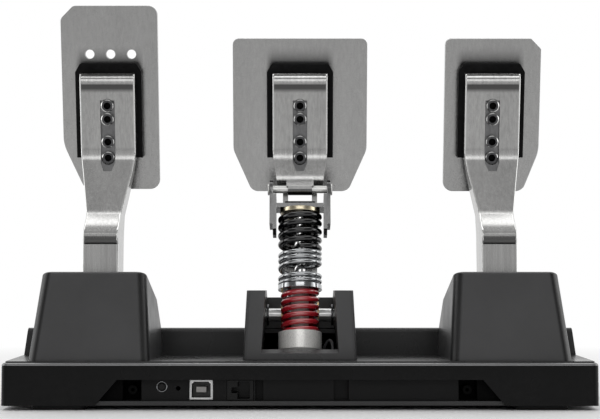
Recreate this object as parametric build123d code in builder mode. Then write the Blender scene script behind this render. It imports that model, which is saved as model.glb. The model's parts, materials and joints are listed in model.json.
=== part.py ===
from build123d import *
import math
import os

# A three-pedal set for sim racing. The driver sits at -Y and pushes the pedals towards +Y,
# +X is the driver's right (throttle), +Z is up. The origin is the middle of the underside.
# "Ahead" is the distance from the rear face of the base towards the driver.

os.makedirs("parts", exist_ok=True)

# Base: tray, cover, plate and feet
base_depth = 270.0
rear_width = 335.0
body_width = 344.0
ridge_ahead = 80.0
rear_corner_radius = 4.0
flank_radius = 60.0
front_corner_radius = 22.0
foot_height = 2.5
tray_top = 26.5
deck_top = 27.3
ridge_top = 44.3
front_top = 14.0
seam_drop = 5.5
wall = 2.8
lip_radius = 1.8
cover_inset = 2.0
cover_wall = 2.6
cover_tongue = 2.0
cover_draft_degrees = 8.0
crest_radius = 2.5
nose_radius = 3.0
seam_gap = 0.3
overrun = 5.0
plate_thickness = 2.5
plate_gap = 0.4
flange_width = 13.0
flange_thickness = 2.0
foot_length = 30.0
foot_depth = 22.0
foot_corner = 4.0
foot_inset_x = 21.0
foot_inset_y = 15.0
grip_last = 30.0
grip_width = 4.0
grip_inset = 22.0
grip_height = 0.8
grip_first = 34.0
grip_pitch = 20.0

# Screws through the underside, and the threaded bosses for a stand or rig
case_screw_rear_inset = 13.5
case_screw_side_inset = 18.0
case_screw_rear = 10.0
case_screw_front_inset = 13.0
case_boss_radius = 4.5
screw_radius = 2.0
screw_play = 0.05
screw_head_radius = 3.9
screw_head_height = 2.0
case_screw_length = 9.0
mount_spacing_x = 220.0
mount_spacing_y = 100.0
mount_hole_radius = 2.5
mount_boss_radius = 5.5
mount_boss_height = 6.0

# Recess at the rear with its panel and sockets
recess_bottom_inset = 2.0
recess_top_inset = 14.5
recess_height = 14.5
recess_frame = 1.8
panel_ahead = 6.0
panel_thickness = 2.0
pocket_inner_inset = 27.7
pocket_outer_inset = 17.2
pocket_ahead = 19.0
post_inset = 22.6
post_radius = 2.6
slot_left_inset = 94.1
slot_left_width = 4.4
slot_width = 46.1
slot_right_width = 8.4
slot_ahead = 11.0
slot_wall = 0.8
usb_inset = 61.4
usb_width = 12.0
usb_height = 10.9
usb_middle = 11.3
usb_depth = 16.0
usb_wall = 0.5
usb_chamfer = 2.0
usb_tongue_width = 5.7
usb_tongue_height = 3.2
usb_proud = 0.4
port_inset = 83.3
port_width = 14.9
port_height = 11.0
port_middle = 10.9
port_depth = 14.5
port_mouth_width = 6.7
port_mouth_height = 9.6
port_mouth_shift = 1.9
port_latch_width = 3.4
port_latch_height = 3.2
port_mouth_depth = 12.0
socket_gap = 0.15
key_inset = 39.2
key_middle = 12.9
key_radius = 2.2
key_flange_radius = 3.0
key_length = 5.5
key_flange_length = 1.0
key_travel = 0.8
key_proud = 1.0
key_play = 0.06
reset_inset = 48.4
reset_middle = 11.9
reset_radius = 1.3
board_thickness = 1.6
board_outer_inset = 34.0
board_ahead = 8.3
board_post_ahead = 17.0
board_depth = 34.0
board_post_radius = 2.5
board_post_inset = 4.0
chip_size = 8.0
chip_height = 1.4
switch_size = 6.0

# Pedals: shared sizes
pedal_side_inset = 50.5
head_lean = 12.5
head_foot_ahead = 66.0
head_foot_rise = 12.0
arm_wall = 3.0
arm_head_depth = 7.0
arm_head_up = 49.0
arm_head_half = 16.7
arm_neck_half = 14.9
arm_neck_height = 138.0
arm_leg_half = 10.3
arm_knee_drop = 26.0
arm_top_radius = 3.5
groove_width = 8.8
groove_tip_width = 4.8
groove_depth = 1.4
groove_rise = 32.0
groove_shoulder_drop = 5.5
groove_drop = 10.8
arm_screw_ups = (-2.2, 7.6, 21.4, 29.6)
arm_screw_head_radius = 3.85
arm_screw_head_height = 2.8
arm_screw_socket = 1.9
arm_screw_socket_depth = 1.6
arm_screw_reach = 12.5
spot_play = 0.3

# Throttle and clutch arms
pivot_ahead = 46.0
pivot_height = 48.0
pivot_hub_radius = 13.5
leg_rear = 34.6
band_height = 6.6
band_drop = 11.4
band_rear = 31.8
knee_rear = 47.0
neck_rear = 62.0
leg_front = 59.5
leg_front_top = 66.0
calf_front = 62.0
calf_front_drop = 12.0
thigh_front = 71.0
thigh_front_drop = 23.0
lever_rear = 17.0
lever_bottom = 36.0
lever_thickness = 3.2

# Shaft, bushes, bracket and return spring of the throttle and clutch
shaft_radius = 4.0
bush_radius = 6.0
bush_flange_radius = 8.0
bush_flange = 1.0
bush_play = 0.05
bracket_gap = 0.3
bracket_wall = 3.2
bracket_rear = 16.5
bracket_front = 68.0
cheek_rear = 28.0
cheek_front = 64.0
cheek_round = 11.0
shaft_end = 2.4
clip_radius = 6.5
clip_thickness = 1.2
bracket_screw_across = 8.0
bracket_screw_rear = 38.0
bracket_screw_front = 62.0
return_spring_ahead = 24.5
return_spring_radius = 6.0
return_spring_wire = 1.6
return_spring_turns = 6
return_spring_dead = 1
magnet_rear = 10.0
magnet_drop = 5.7
magnet_radius = 2.0
magnet_depth = 2.0
magnet_proud = 0.6
sensor_rear = 24.0
sensor_front = 38.5
sensor_bottom = 33.0
sensor_top = 50.0
sensor_window = 3.6
sensor_chip = 3.0

# Head blocks and plates
block_thickness = 7.0
block_half = 20.2
block_bottom = -3.0
block_top = 55.0
block_chamfer_across = 3.2
block_chamfer_up = 5.5
block_edge = 0.8
block_pad_gap = 0.3
block_pad_top = 43.0
sheet_thickness = 3.0
plate_screw_across = 13.0
plate_screw_low = 8.0
plate_screw_high = 44.0
plate_screw_head = 3.6
throttle_inner = -29.8
throttle_outer = 29.5
throttle_bottom = -23.6
throttle_top = 89.5
throttle_outer_chamfer = 8.0
throttle_outer_cut = 12.5
throttle_outer_cut_up = 28.0
plate_radius_top = 4.0
plate_radius_bottom = 6.0
toe_hole_radius = 2.8
toe_hole_up = 60.0
toe_hole_pitch = 12.8
toe_hole_middle = -0.8
clutch_inner = -28.0
clutch_outer = 31.0
clutch_bottom = -25.0
clutch_top = 69.6
clutch_chamfer = 6.5
clutch_cut = 9.5
clutch_cut_up = 25.0
brake_plate_half = 41.3
brake_plate_bottom = -25.0
brake_plate_top = 69.6
brake_plate_cut = 11.5
brake_plate_cut_up = 26.0

# Hoods over the throttle and clutch pivots
hood_top = 78.0
hood_rear_foot = 5.0
hood_rear_top = 6.0
hood_break_ahead = 60.0
hood_break_height = 63.0
hood_inner_foot = -32.2
hood_outer_foot = 37.0
hood_inner_top = -29.7
hood_outer_top = 29.2
hood_radius = 6.0
hood_rim_radius = 1.5
hood_wall = 2.5
hood_slot_half = 13.2
hood_slot_rear = 15.0
hood_slot_front = 68.0
hood_slot_radius = 4.0

# Brake: arm, pivot bracket and housing
brake_pivot_ahead = 70.0
brake_pivot_height = 52.0
brake_hub_radius = 11.0
brake_cheek_inner = 7.3
brake_cheek_outer = 10.4
brake_waist_half = 13.7
brake_waist_drop = 19.0
brake_flare_ahead = 64.5
brake_flare_drop = 4.0
brake_lip_ahead = 59.5
brake_lip_drop = 13.5
brake_lip_end_ahead = 52.5
brake_lip_end_drop = 20.5
brake_neck_rear = 66.0
brake_neck_drop = 15.0
brake_neck_low_rear = 62.5
brake_neck_low_height = 64.0
brake_neck_front = 82.0
brake_neck_front_low = 81.0
brake_back_drop = 34.0
brake_back_bottom = 60.0
brake_back_thickness = 3.0
knuckle_half = 7.2
lip_notch_inner = 8.2
lip_notch_rise = 5.4
knuckle_radius = 3.6
clevis_pin_radius = 2.4
clevis_pin_half = 19.4
clevis_pin_head_radius = 3.6
clevis_pin_head = 1.0
brake_bracket_inner = 23.8
brake_bracket_front = 106.0
brake_bracket_rear = 46.0
brake_cheek_rear = 54.0
brake_cheek_front = 84.0
brake_cheek_top_round = 9.0
brake_window_half = 8.0
brake_window_front = 84.0
brake_shaft_end = 1.2
brake_collar_radius = 6.4
brake_collar_thickness = 1.3
brake_collar_gap = 0.3
brake_screw_across = 18.0
brake_screw_rear = 58.0
brake_screw_front = 98.0
housing_rear = 17.0
housing_front = 91.0
housing_foot_half = 32.75
housing_top_half = 30.6
housing_top = 67.0
housing_top_break = 60.0
housing_front_top = 62.0
housing_front_top_ahead = 88.0
housing_radius = 2.5
housing_bar_top = 31.2
housing_bar_back = 33.2
housing_bar_depth = 4.5
housing_opening_foot = 22.4
housing_opening_top = 20.0
housing_front_wall = 4.0
housing_pocket_inner = 23.5
housing_pocket_outer = 28.9
housing_pocket_rear = 51.0
housing_pocket_front = 86.0
housing_pocket_top = 62.5
shaft_hole_play = 0.4

# Brake strut, measured along its own line from the foot pin
strut_foot_ahead = 35.6
strut_foot_height = 26.2
strut_pin_ahead = 56.6
strut_pin_drop = 22.2
cup_bottom = 4.1
cup_floor = 5.6
cup_top = 16.2
cup_radius = 12.8
cup_inner_radius = 11.7
cup_chamfer = 1.6
guide_radius = 5.2
guide_proud = 1.6
rod_radius = 3.2
rod_play = 0.08
rod_bottom = 20.0
lug_half = 7.2
lug_radius = 4.2
foot_pin_radius = 2.0
foot_pin_end = 1.2
yoke_wall = 3.0
yoke_gap = 0.3
yoke_base = 2.2
yoke_ear_radius = 3.7
yoke_ear_foot = 6.0
yoke_half_length = 12.0
yoke_screw = 8.6
lower_collar_thickness = 2.8
lower_collar_radius = 13.0
red_spring_share = 0.4361
black_spring_share = 0.2804
collar_play = 0.3
flange_drop = 15.6
strut_flange_thickness = 2.7
strut_flange_radius = 11.9
bridge_thickness = 2.5
stop_thickness = 1.5
stop_half = 9.2
stop_half_depth = 6.0
bridge_half_depth = 7.5
ear_inner = 14.1
ear_wall = 2.1
ear_doubler = 2.0
ear_half_depth = 8.0
ear_drop = 29.25
ear_doubler_drop = 23.25
ear_shoulder_drop = 4.75
ear_top_radius = 5.4
open_pivot_clearance = 0.3
spring_seat_gap = 0.3
red_spring_radius = 11.4
red_spring_wire = 3.1
red_spring_pitch = 5.1
red_spring_dead = 0.5
silver_spring_radius = 13.1
silver_spring_wire = 2.9
silver_spring_pitch = 5.1
silver_spring_dead = 1.5
black_spring_radius = 13.2
black_spring_wire = 3.6
black_spring_pitch = 5.6
black_spring_dead = 0.5
spring_dead_gap = 0.6

# Load cell under the strut
cell_half_width = 6.0
cell_height = 10.0
cell_rear = 20.5
cell_front = 104.0
cell_hole_radius = 3.4
cell_hole_pitch = 12.0
cell_hole_ahead = 64.0
cell_slot = 1.2
cell_bolt_radius = 2.0
cell_bolt_head_radius = 3.5
cell_bolt_head_height = 2.6
cell_bolt_depth = 7.0
cell_bolt_first = 90.0
cell_bolt_second = 99.0
wire_radius = 0.9
amplifier_across = -48.0
amplifier_width = 24.0
amplifier_depth = 18.0
amplifier_ahead = 62.0
amplifier_post = 3.0
wire_route = (
    (-6.0, 64.0, 15.6),
    (-11.5, 64.0, 15.6),
    (-14.5, 57.0, 23.0),
    (-14.0, 53.0, 33.0),
    (-18.6, 48.5, 39.3),
    (-19.6, 45.0, 30.0),
    (-21.5, 45.5, 20.0),
    (-27.0, 50.0, 14.2),
    (-31.5, 57.5, 12.4),
    (-36.0, 57.5, 12.4),
)
wire_radii_share = 0.45

# Worked-out places
rear_y = base_depth / 2
widest_half = max(rear_width, body_width) / 2
grip_room = base_depth - ridge_ahead - grip_first - grip_last
grip_count = int(grip_room // grip_pitch) + 1
pedal_spread = min(rear_width, body_width) / 2 - pedal_side_inset
plate_top = foot_height + plate_thickness
flange_top = plate_top + flange_thickness
bracket_top = plate_top + bracket_wall
footrest_slope = (ridge_top - front_top) / (base_depth - ridge_ahead)
seam_bend = ridge_ahead + (ridge_top - seam_drop - tray_top) / footrest_slope
lean = math.radians(head_lean)
recess_bottom = 2 * (pedal_spread - recess_bottom_inset)
recess_top = 2 * (pedal_spread - recess_top_inset)
pocket_inner = pedal_spread - pocket_inner_inset
pocket_outer = pedal_spread - pocket_outer_inset
post_across = pedal_spread - post_inset
slot_left = pedal_spread - slot_left_inset
slot_right = slot_left - slot_width
usb_across = pedal_spread - usb_inset
port_across = pedal_spread - port_inset
key_across = pedal_spread - key_inset
reset_across = pedal_spread - reset_inset
board_inner = brake_bracket_inner + bracket_wall
board_outer = pedal_spread - board_outer_inset
head_foot_height = arm_neck_height + head_foot_rise
arm_knee_height = arm_neck_height - arm_knee_drop
band_top = arm_knee_height - band_drop
band_bottom = band_top - band_height
calf_front_height = arm_knee_height - calf_front_drop
thigh_front_height = head_foot_height - thigh_front_drop
groove_top = head_foot_height + groove_rise
groove_shoulder = head_foot_height - groove_shoulder_drop
groove_bottom = head_foot_height - groove_drop
brake_waist_height = head_foot_height - brake_waist_drop
brake_flare_height = head_foot_height - brake_flare_drop
brake_lip_height = head_foot_height - brake_lip_drop
brake_lip_end_height = head_foot_height - brake_lip_end_drop
brake_neck_top = head_foot_height - brake_neck_drop
brake_back_top = head_foot_height - brake_back_drop
strut_pin_height = head_foot_height - strut_pin_drop


def y_at(ahead):
    """Row place of a point that lies ahead of the rear face."""
    return rear_y - ahead


def side(points):
    """Side view: pairs of distance ahead and height, as points of a YZ sketch."""
    return [(y_at(ahead), height) for ahead, height in points]


def plan(points):
    """Plan view: pairs of distance across and ahead, as points of an XY sketch."""
    return [(across, y_at(ahead)) for across, ahead in points]


def rear_plane(ahead):
    """Upright plane facing the rear; extruding by a positive amount goes to the driver."""
    return Plane.XZ.offset(-y_at(ahead))


def side_plane(across):
    """Plane across the set, from which extruding goes towards +X."""
    return Plane.YZ.offset(across)


def footrest_at(ahead):
    """Height of the footrest's surface."""
    return ridge_top - (ahead - ridge_ahead) * footrest_slope


def head_point(up, depth):
    """Side-view place of a point of the leaning pedal head."""
    ahead = head_foot_ahead - up * math.sin(lean) + depth * math.cos(lean)
    height = head_foot_height + up * math.cos(lean) + depth * math.sin(lean)
    return ahead, height


def head_plane(across, depth):
    """Plane of the leaning head with x towards +X, y up the head and z towards the driver."""
    ahead, height = head_point(0, depth)
    origin = (across, y_at(ahead), height)
    return Plane(origin=origin, x_dir=(1, 0, 0), z_dir=(0, -math.cos(lean), math.sin(lean)))


def round_corner(sketch, point, radius):
    """Rounds the corner of the sketch that is nearest to the point."""
    fillet(sketch.vertices().sort_by_distance(Vector(*point))[0], radius=radius)


def body_outline(inset):
    """Plan outline of the base, drawn in from its outer edge."""
    with BuildSketch() as outline:
        corners = plan(
            (
                (-rear_width / 2, 0),
                (rear_width / 2, 0),
                (body_width / 2, ridge_ahead),
                (body_width / 2, base_depth),
                (-body_width / 2, base_depth),
                (-body_width / 2, ridge_ahead),
            )
        )
        Polygon(*corners)
        for sign in (-1, 1):
            round_corner(outline, (sign * rear_width / 2, y_at(0)), rear_corner_radius)
            round_corner(outline, (sign * body_width / 2, y_at(ridge_ahead)), flank_radius)
            round_corner(outline, (sign * body_width / 2, y_at(base_depth)), front_corner_radius)
        if inset:
            offset(amount=-inset, kind=Kind.INTERSECTION, mode=Mode.REPLACE)
    return outline.sketch


def seam_line(drop):
    """Side-view points of the line where tray and cover meet, lowered by drop."""
    front = footrest_at(base_depth) - seam_drop - drop
    return [(0, tray_top - drop), (seam_bend, tray_top - drop), (base_depth, front)]


def across_body(points, radii=()):
    """Solid of a side-view outline over the whole width, with some corners rounded."""
    with BuildPart() as slab:
        with BuildSketch(side_plane(-widest_half)) as profile:
            Polygon(*side(points))
            for corner, radius in radii:
                round_corner(profile, side([corner])[0], radius)
        extrude(amount=2 * widest_half)
    return slab.part


case_screw_front = base_depth - case_screw_front_inset
case_screw_middle = (case_screw_rear + case_screw_front) / 2
case_screw_lines = (
    (rear_width / 2 - case_screw_rear_inset, case_screw_rear),
    (body_width / 2 - case_screw_side_inset, case_screw_middle),
    (body_width / 2 - case_screw_side_inset, case_screw_front),
)
case_screw_places = [(sign * across, ahead) for sign in (-1, 1) for across, ahead in case_screw_lines]
mount_ahead = (bracket_front + base_depth) / 2
mount_places = [
    (across * mount_spacing_x / 2, mount_ahead + along * mount_spacing_y / 2)
    for across in (-1, 1)
    for along in (-1, 1)
]
side_screw_places = [
    (side_sign * pedal_spread + across * bracket_screw_across, ahead)
    for side_sign in (-1, 1)
    for across in (-1, 1)
    for ahead in (bracket_screw_rear, bracket_screw_front)
]
brake_screw_places = [
    (across * brake_screw_across, ahead)
    for across in (-1, 1)
    for ahead in (brake_screw_rear, brake_screw_front)
]
bracket_screw_places = side_screw_places + brake_screw_places
board_post_places = [
    (across, ahead)
    for across in (board_inner + board_post_inset, board_outer - board_post_inset)
    for ahead in (board_ahead + board_post_ahead, board_ahead + board_depth - board_post_inset)
]
amplifier_places = [
    (amplifier_across + sign * (amplifier_width / 2 - amplifier_post), amplifier_ahead)
    for sign in (-1, 1)
]


def at_places(places):
    """Locations of plan-view places."""
    return Locations(*plan(places))


# Base plate with countersunk holes and four tapped bosses
with BuildPart() as base_plate:
    with BuildSketch(Plane.XY.offset(foot_height)):
        add(body_outline(wall + plate_gap))
    extrude(amount=plate_thickness)
    with BuildSketch(Plane.XY.offset(foot_height)):
        with at_places(mount_places):
            Circle(mount_boss_radius)
    extrude(amount=plate_thickness + mount_boss_height)
    with BuildSketch(Plane.XY.offset(foot_height)):
        with at_places(mount_places):
            Circle(mount_hole_radius)
    extrude(amount=plate_thickness + mount_boss_height, mode=Mode.SUBTRACT)
    with BuildSketch(Plane.XY.offset(foot_height)):
        with at_places(case_screw_places + bracket_screw_places):
            Circle(screw_radius + screw_play)
    extrude(amount=plate_thickness, mode=Mode.SUBTRACT)
    with at_places(case_screw_places + bracket_screw_places):
        with Locations((0, 0, foot_height + screw_head_height / 2)):
            Cone(
                screw_head_radius + screw_play,
                screw_radius + screw_play,
                screw_head_height,
                mode=Mode.SUBTRACT,
            )
base_plate.part.label = "base_plate"
export_step(base_plate.part, "parts/base_plate.step")


def countersunk_screws(places, length):
    """Countersunk screws pushed up through the base plate."""
    with BuildPart() as screws:
        with BuildSketch(Plane.XY.offset(foot_height)):
            with at_places(places):
                Circle(screw_radius)
        extrude(amount=length)
        with at_places(places):
            with Locations((0, 0, foot_height + screw_head_height / 2)):
                Cone(screw_head_radius, screw_radius, screw_head_height)
        with BuildSketch(Plane.XY.offset(foot_height)):
            with at_places(places):
                RegularPolygon(screw_radius / 2, 6)
        extrude(amount=screw_head_height / 2, mode=Mode.SUBTRACT)
    return screws.part


base_screws = countersunk_screws(case_screw_places, case_screw_length)
base_screws.label = "base_screws"
export_step(base_screws, "parts/base_screws.step")

bracket_screws = countersunk_screws(bracket_screw_places, plate_thickness + bracket_wall)
bracket_screws.label = "bracket_screws"
export_step(bracket_screws, "parts/bracket_screws.step")

# Rubber feet
foot_places = [
    (sign * (body_width / 2 - foot_inset_x - foot_length / 2), ahead)
    for sign in (-1, 1)
    for ahead in (foot_inset_y, base_depth - foot_inset_y - foot_inset_x)
]
with BuildPart() as rubber_feet:
    with BuildSketch():
        with at_places(foot_places):
            RectangleRounded(foot_length, foot_depth, foot_corner)
    extrude(amount=foot_height)
rubber_feet.part.label = "rubber_feet"
export_step(rubber_feet.part, "parts/rubber_feet.step")

# Tray: the outer wall of the base, open above and below
tray_profile = [(0, foot_height)] + seam_line(0) + [(base_depth, foot_height)]
recess_shape = [
    (-recess_bottom / 2, foot_height),
    (-recess_top / 2, foot_height + recess_height),
    (recess_top / 2, foot_height + recess_height),
    (recess_bottom / 2, foot_height),
]
with BuildPart() as base_tray:
    with BuildSketch(Plane.XY.offset(foot_height)):
        add(body_outline(0))
    extrude(amount=tray_top - foot_height)
    add(across_body(tray_profile), mode=Mode.INTERSECT)
    rim = base_tray.faces().filter_by(lambda face: face.normal_at().Z > footrest_slope).edges()
    fillet(rim.filter_by(lambda edge: not edge.is_interior), radius=lip_radius)
    with BuildSketch(Plane.XY.offset(flange_top)):
        add(body_outline(wall))
    extrude(amount=tray_top, mode=Mode.SUBTRACT)
    with BuildSketch(Plane.XY.offset(foot_height)):
        add(body_outline(wall + flange_width))
    extrude(amount=tray_top, mode=Mode.SUBTRACT)
    with BuildSketch(Plane.XY.offset(foot_height)):
        add(body_outline(wall))
    extrude(amount=plate_thickness, mode=Mode.SUBTRACT)
    with BuildSketch(rear_plane(0)):
        Polygon(*recess_shape)
    extrude(amount=wall, mode=Mode.SUBTRACT)
    with BuildSketch(Plane.XY.offset(plate_top)):
        bay = plan(
            (
                (-recess_bottom / 2 - overrun, wall),
                (recess_bottom / 2 + overrun, wall),
                (recess_bottom / 2 + overrun, wall + flange_width),
                (-recess_bottom / 2 - overrun, wall + flange_width),
            )
        )
        Polygon(*bay)
    extrude(amount=flange_thickness, mode=Mode.SUBTRACT)
    with BuildSketch(Plane.XY.offset(plate_top)):
        with at_places(case_screw_places):
            Circle(screw_radius + screw_play)
    extrude(amount=flange_thickness, mode=Mode.SUBTRACT)
base_tray.part.label = "base_tray"
export_step(base_tray.part, "parts/base_tray.step")

# Cover: deck, ridge and ribbed footrest
crest = (ridge_ahead, ridge_top)
nose = (base_depth - cover_inset, footrest_at(base_depth - cover_inset))
cover_profile = [(0, tray_top), (0, deck_top), (ridge_ahead, deck_top), crest, nose]
cover_profile = cover_profile + seam_line(0)[:0:-1]
cavity_profile = [
    (0, 0),
    (0, deck_top - cover_wall),
    (ridge_ahead + cover_wall, deck_top - cover_wall),
    (ridge_ahead + cover_wall, footrest_at(ridge_ahead + cover_wall) - cover_wall),
    (base_depth, footrest_at(base_depth) - cover_wall),
    (base_depth, 0),
]
tongue_profile = seam_line(0) + seam_line(cover_tongue)[::-1]
with BuildPart() as cover_cavity:
    with BuildSketch():
        add(body_outline(wall + seam_gap + cover_wall))
    extrude(amount=ridge_top)
    add(across_body(cavity_profile), mode=Mode.INTERSECT)
with BuildPart() as cover_skirt:
    with BuildSketch():
        add(body_outline(cover_inset))
    extrude(amount=tray_top)
    add(across_body(cover_profile), mode=Mode.INTERSECT)
with BuildPart() as cover_lip:
    with BuildSketch():
        add(body_outline(wall + seam_gap))
    extrude(amount=ridge_top)
    add(across_body(tongue_profile), mode=Mode.INTERSECT)
with BuildPart() as top_cover:
    with BuildSketch(Plane.XY.offset(tray_top)):
        add(body_outline(cover_inset))
    extrude(amount=ridge_top - tray_top, taper=cover_draft_degrees)
    soft = ((crest, crest_radius), (nose, nose_radius))
    add(across_body(cover_profile, soft), mode=Mode.INTERSECT)
    add(cover_skirt.part)
    add(cover_lip.part)
    add(cover_cavity.part, mode=Mode.SUBTRACT)
    for across, ahead in case_screw_places:
        ceiling = deck_top if ahead < ridge_ahead else footrest_at(ahead)
        with BuildSketch(Plane.XY.offset(flange_top)):
            with at_places([(across, ahead)]):
                Circle(case_boss_radius)
        extrude(amount=ceiling - cover_wall / 2 - flange_top)
    with BuildSketch(Plane.XY.offset(flange_top)):
        with at_places(case_screw_places):
            Circle(screw_radius + screw_play)
    extrude(amount=case_screw_length + foot_height - flange_top, mode=Mode.SUBTRACT)
    for sign in (-1, 1):
        with BuildSketch():
            opening = plan(
                (
                    (sign * (pedal_spread - hood_outer_top + hood_wall), bracket_rear - overrun / 2),
                    (sign * (pedal_spread + hood_outer_top - hood_wall), bracket_rear - overrun / 2),
                    (sign * (pedal_spread + hood_outer_top - hood_wall), ridge_ahead - hood_wall),
                    (sign * (pedal_spread - hood_outer_top + hood_wall), ridge_ahead - hood_wall),
                )
            )
            Polygon(*opening)
        extrude(amount=ridge_top, mode=Mode.SUBTRACT)
    with BuildSketch():
        well = plan(
            (
                (-housing_pocket_outer, housing_rear + wall),
                (housing_pocket_outer, housing_rear + wall),
                (housing_pocket_outer, housing_front - wall),
                (-housing_pocket_outer, housing_front - wall),
            )
        )
        Polygon(*well)
    extrude(amount=ridge_top, mode=Mode.SUBTRACT)
    grip_origin = (0, y_at(ridge_ahead + grip_first), footrest_at(ridge_ahead + grip_first))
    grip_plane = Plane(grip_origin, x_dir=(1, 0, 0), z_dir=(0, -footrest_slope, 1))
    with BuildSketch(grip_plane):
        with Locations((0, -grip_pitch * (grip_count - 1) / 2)):
            with GridLocations(0, grip_pitch, 1, grip_count):
                SlotOverall(body_width - 2 * grip_inset, grip_width)
    extrude(amount=grip_height)
top_cover.part.label = "top_cover"
export_step(top_cover.part, "parts/top_cover.step")


def recess_half(height):
    """Half width of the rear recess at a height."""
    return recess_bottom / 2 - (recess_bottom - recess_top) / 2 * (height - foot_height) / recess_height


def bay_polygon(outset):
    """Rear-view corners of the recess above the base plate, moved outwards."""
    top = foot_height + recess_height
    return [
        (-recess_half(plate_top) - outset, plate_top),
        (-recess_half(top) - outset, top + outset),
        (recess_half(top) + outset, top + outset),
        (recess_half(plate_top) + outset, plate_top),
    ]


# Connector panel, with two screw pockets and two cooling slots
recess_ceiling = foot_height + recess_height
panel_middle = (plate_top + recess_ceiling) / 2
panel_back = panel_ahead + panel_thickness
deep_places = [
    (sign * (pocket_inner + pocket_outer) / 2, pocket_outer - pocket_inner, pocket_ahead, panel_thickness)
    for sign in (-1, 1)
]
deep_places.append((slot_left, slot_left_width, slot_ahead, slot_wall))
deep_places.append((slot_right, slot_right_width, slot_ahead, slot_wall))
with BuildPart() as connector_panel:
    with BuildSketch(rear_plane(wall)):
        Polygon(*bay_polygon(recess_frame))
    extrude(amount=panel_back - wall)
    for across, width, depth, skin in deep_places:
        with BuildSketch(rear_plane(panel_ahead)):
            with Locations((across, (plate_top + recess_ceiling + skin) / 2)):
                Rectangle(width + 2 * skin, recess_ceiling + skin - plate_top)
        extrude(amount=depth + skin - panel_ahead)
    with BuildSketch(rear_plane(wall)):
        Polygon(*bay_polygon(0))
    extrude(amount=panel_ahead - wall, mode=Mode.SUBTRACT)
    for across, width, depth, skin in deep_places:
        with BuildSketch(rear_plane(panel_ahead)):
            with Locations((across, panel_middle)):
                Rectangle(width, recess_ceiling - plate_top)
        extrude(amount=depth - panel_ahead, mode=Mode.SUBTRACT)
    with BuildSketch(rear_plane(panel_ahead)):
        with Locations((usb_across, usb_middle)):
            Rectangle(usb_width + 2 * socket_gap, usb_height + 2 * socket_gap)
        with Locations((port_across, port_middle)):
            Rectangle(port_width + 2 * socket_gap, port_height + 2 * socket_gap)
        with Locations((key_across, key_middle)):
            Circle(key_radius + key_play)
        with Locations((reset_across, reset_middle)):
            Circle(reset_radius)
    extrude(amount=panel_thickness, mode=Mode.SUBTRACT)
    with BuildSketch(rear_plane(panel_back)):
        with Locations((-post_across, panel_middle), (post_across, panel_middle)):
            Circle(post_radius)
            Circle(screw_radius / 2, mode=Mode.SUBTRACT)
    extrude(amount=pocket_ahead - panel_back)
connector_panel.part.label = "connector_panel"
export_step(connector_panel.part, "parts/connector_panel.step")

# Square data socket: folded steel shell and its tongue block
usb_front = panel_ahead - usb_proud


def usb_outline(inset):
    """Rear-view outline of the socket, its two upper corners cut."""
    half = usb_width / 2 - inset
    tall = usb_height / 2 - inset
    cut = usb_chamfer
    return [
        (-half, -tall),
        (half, -tall),
        (half, tall - cut),
        (half - cut, tall),
        (-half + cut, tall),
        (-half, tall - cut),
    ]


with BuildPart() as usb_shell:
    with BuildSketch(rear_plane(usb_front)):
        with Locations((usb_across, usb_middle)):
            Polygon(*usb_outline(0))
            Polygon(*usb_outline(usb_wall), mode=Mode.SUBTRACT)
    extrude(amount=usb_depth)
usb_shell.part.label = "usb_shell"
export_step(usb_shell.part, "parts/usb_shell.step")

with BuildPart() as usb_insulator:
    with BuildSketch(rear_plane(usb_front + usb_depth / 2)):
        with Locations((usb_across, usb_middle)):
            Polygon(*usb_outline(usb_wall + socket_gap))
    extrude(amount=usb_depth / 2)
    with BuildSketch(rear_plane(usb_front + usb_wall)):
        with Locations((usb_across, usb_middle)):
            Rectangle(usb_tongue_width, usb_tongue_height)
    extrude(amount=usb_depth / 2)
usb_insulator.part.label = "usb_insulator"
export_step(usb_insulator.part, "parts/usb_insulator.step")

# Modular socket, lying on its side
with BuildPart() as accessory_socket:
    with BuildSketch(rear_plane(usb_front)):
        with Locations((port_across, port_middle)):
            Rectangle(port_width, port_height)
    extrude(amount=port_depth)
    with BuildSketch(rear_plane(usb_front)):
        with Locations((port_across - port_mouth_shift, port_middle)):
            Rectangle(port_mouth_width, port_mouth_height)
        with Locations((port_across - port_mouth_shift + port_mouth_width / 2, port_middle)):
            Rectangle(2 * port_latch_width, port_latch_height)
    extrude(amount=port_mouth_depth, mode=Mode.SUBTRACT)
accessory_socket.part.label = "accessory_socket"
export_step(accessory_socket.part, "parts/accessory_socket.step")

# Service key, held behind the panel by its flange
with BuildPart() as service_key:
    with BuildSketch(rear_plane(panel_ahead - key_proud)):
        with Locations((key_across, key_middle)):
            Circle(key_radius)
    extrude(amount=key_length)
    fillet(service_key.edges().group_by(Axis.Y)[-1], radius=key_radius / 3)
    with BuildSketch(rear_plane(panel_back + key_play)):
        with Locations((key_across, key_middle)):
            Circle(key_flange_radius)
    extrude(amount=key_flange_length)
service_key.part.label = "service_key"
export_step(service_key.part, "parts/service_key.step")

# Main board with its processor and the switch behind the key
board_bottom = usb_middle + usb_height / 2
board_middle = (board_inner + board_outer) / 2
key_end = panel_ahead - key_proud + key_length
with BuildPart() as main_board:
    with BuildSketch(Plane.XY.offset(board_bottom)):
        with at_places([(board_middle, board_ahead + board_depth / 2)]):
            Rectangle(board_outer - board_inner, board_depth)
    extrude(amount=board_thickness)
    with BuildSketch(Plane.XY.offset(board_bottom + board_thickness)):
        with at_places([(board_middle, board_ahead + board_depth / 2)]):
            Rectangle(chip_size, chip_size)
    extrude(amount=chip_height)
    with BuildSketch(rear_plane(key_end + key_travel + socket_gap)):
        with Locations((key_across, board_bottom - switch_size / 2)):
            Rectangle(switch_size, switch_size)
    extrude(amount=switch_size / 2)
main_board.part.label = "main_board"
export_step(main_board.part, "parts/main_board.step")

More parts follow.
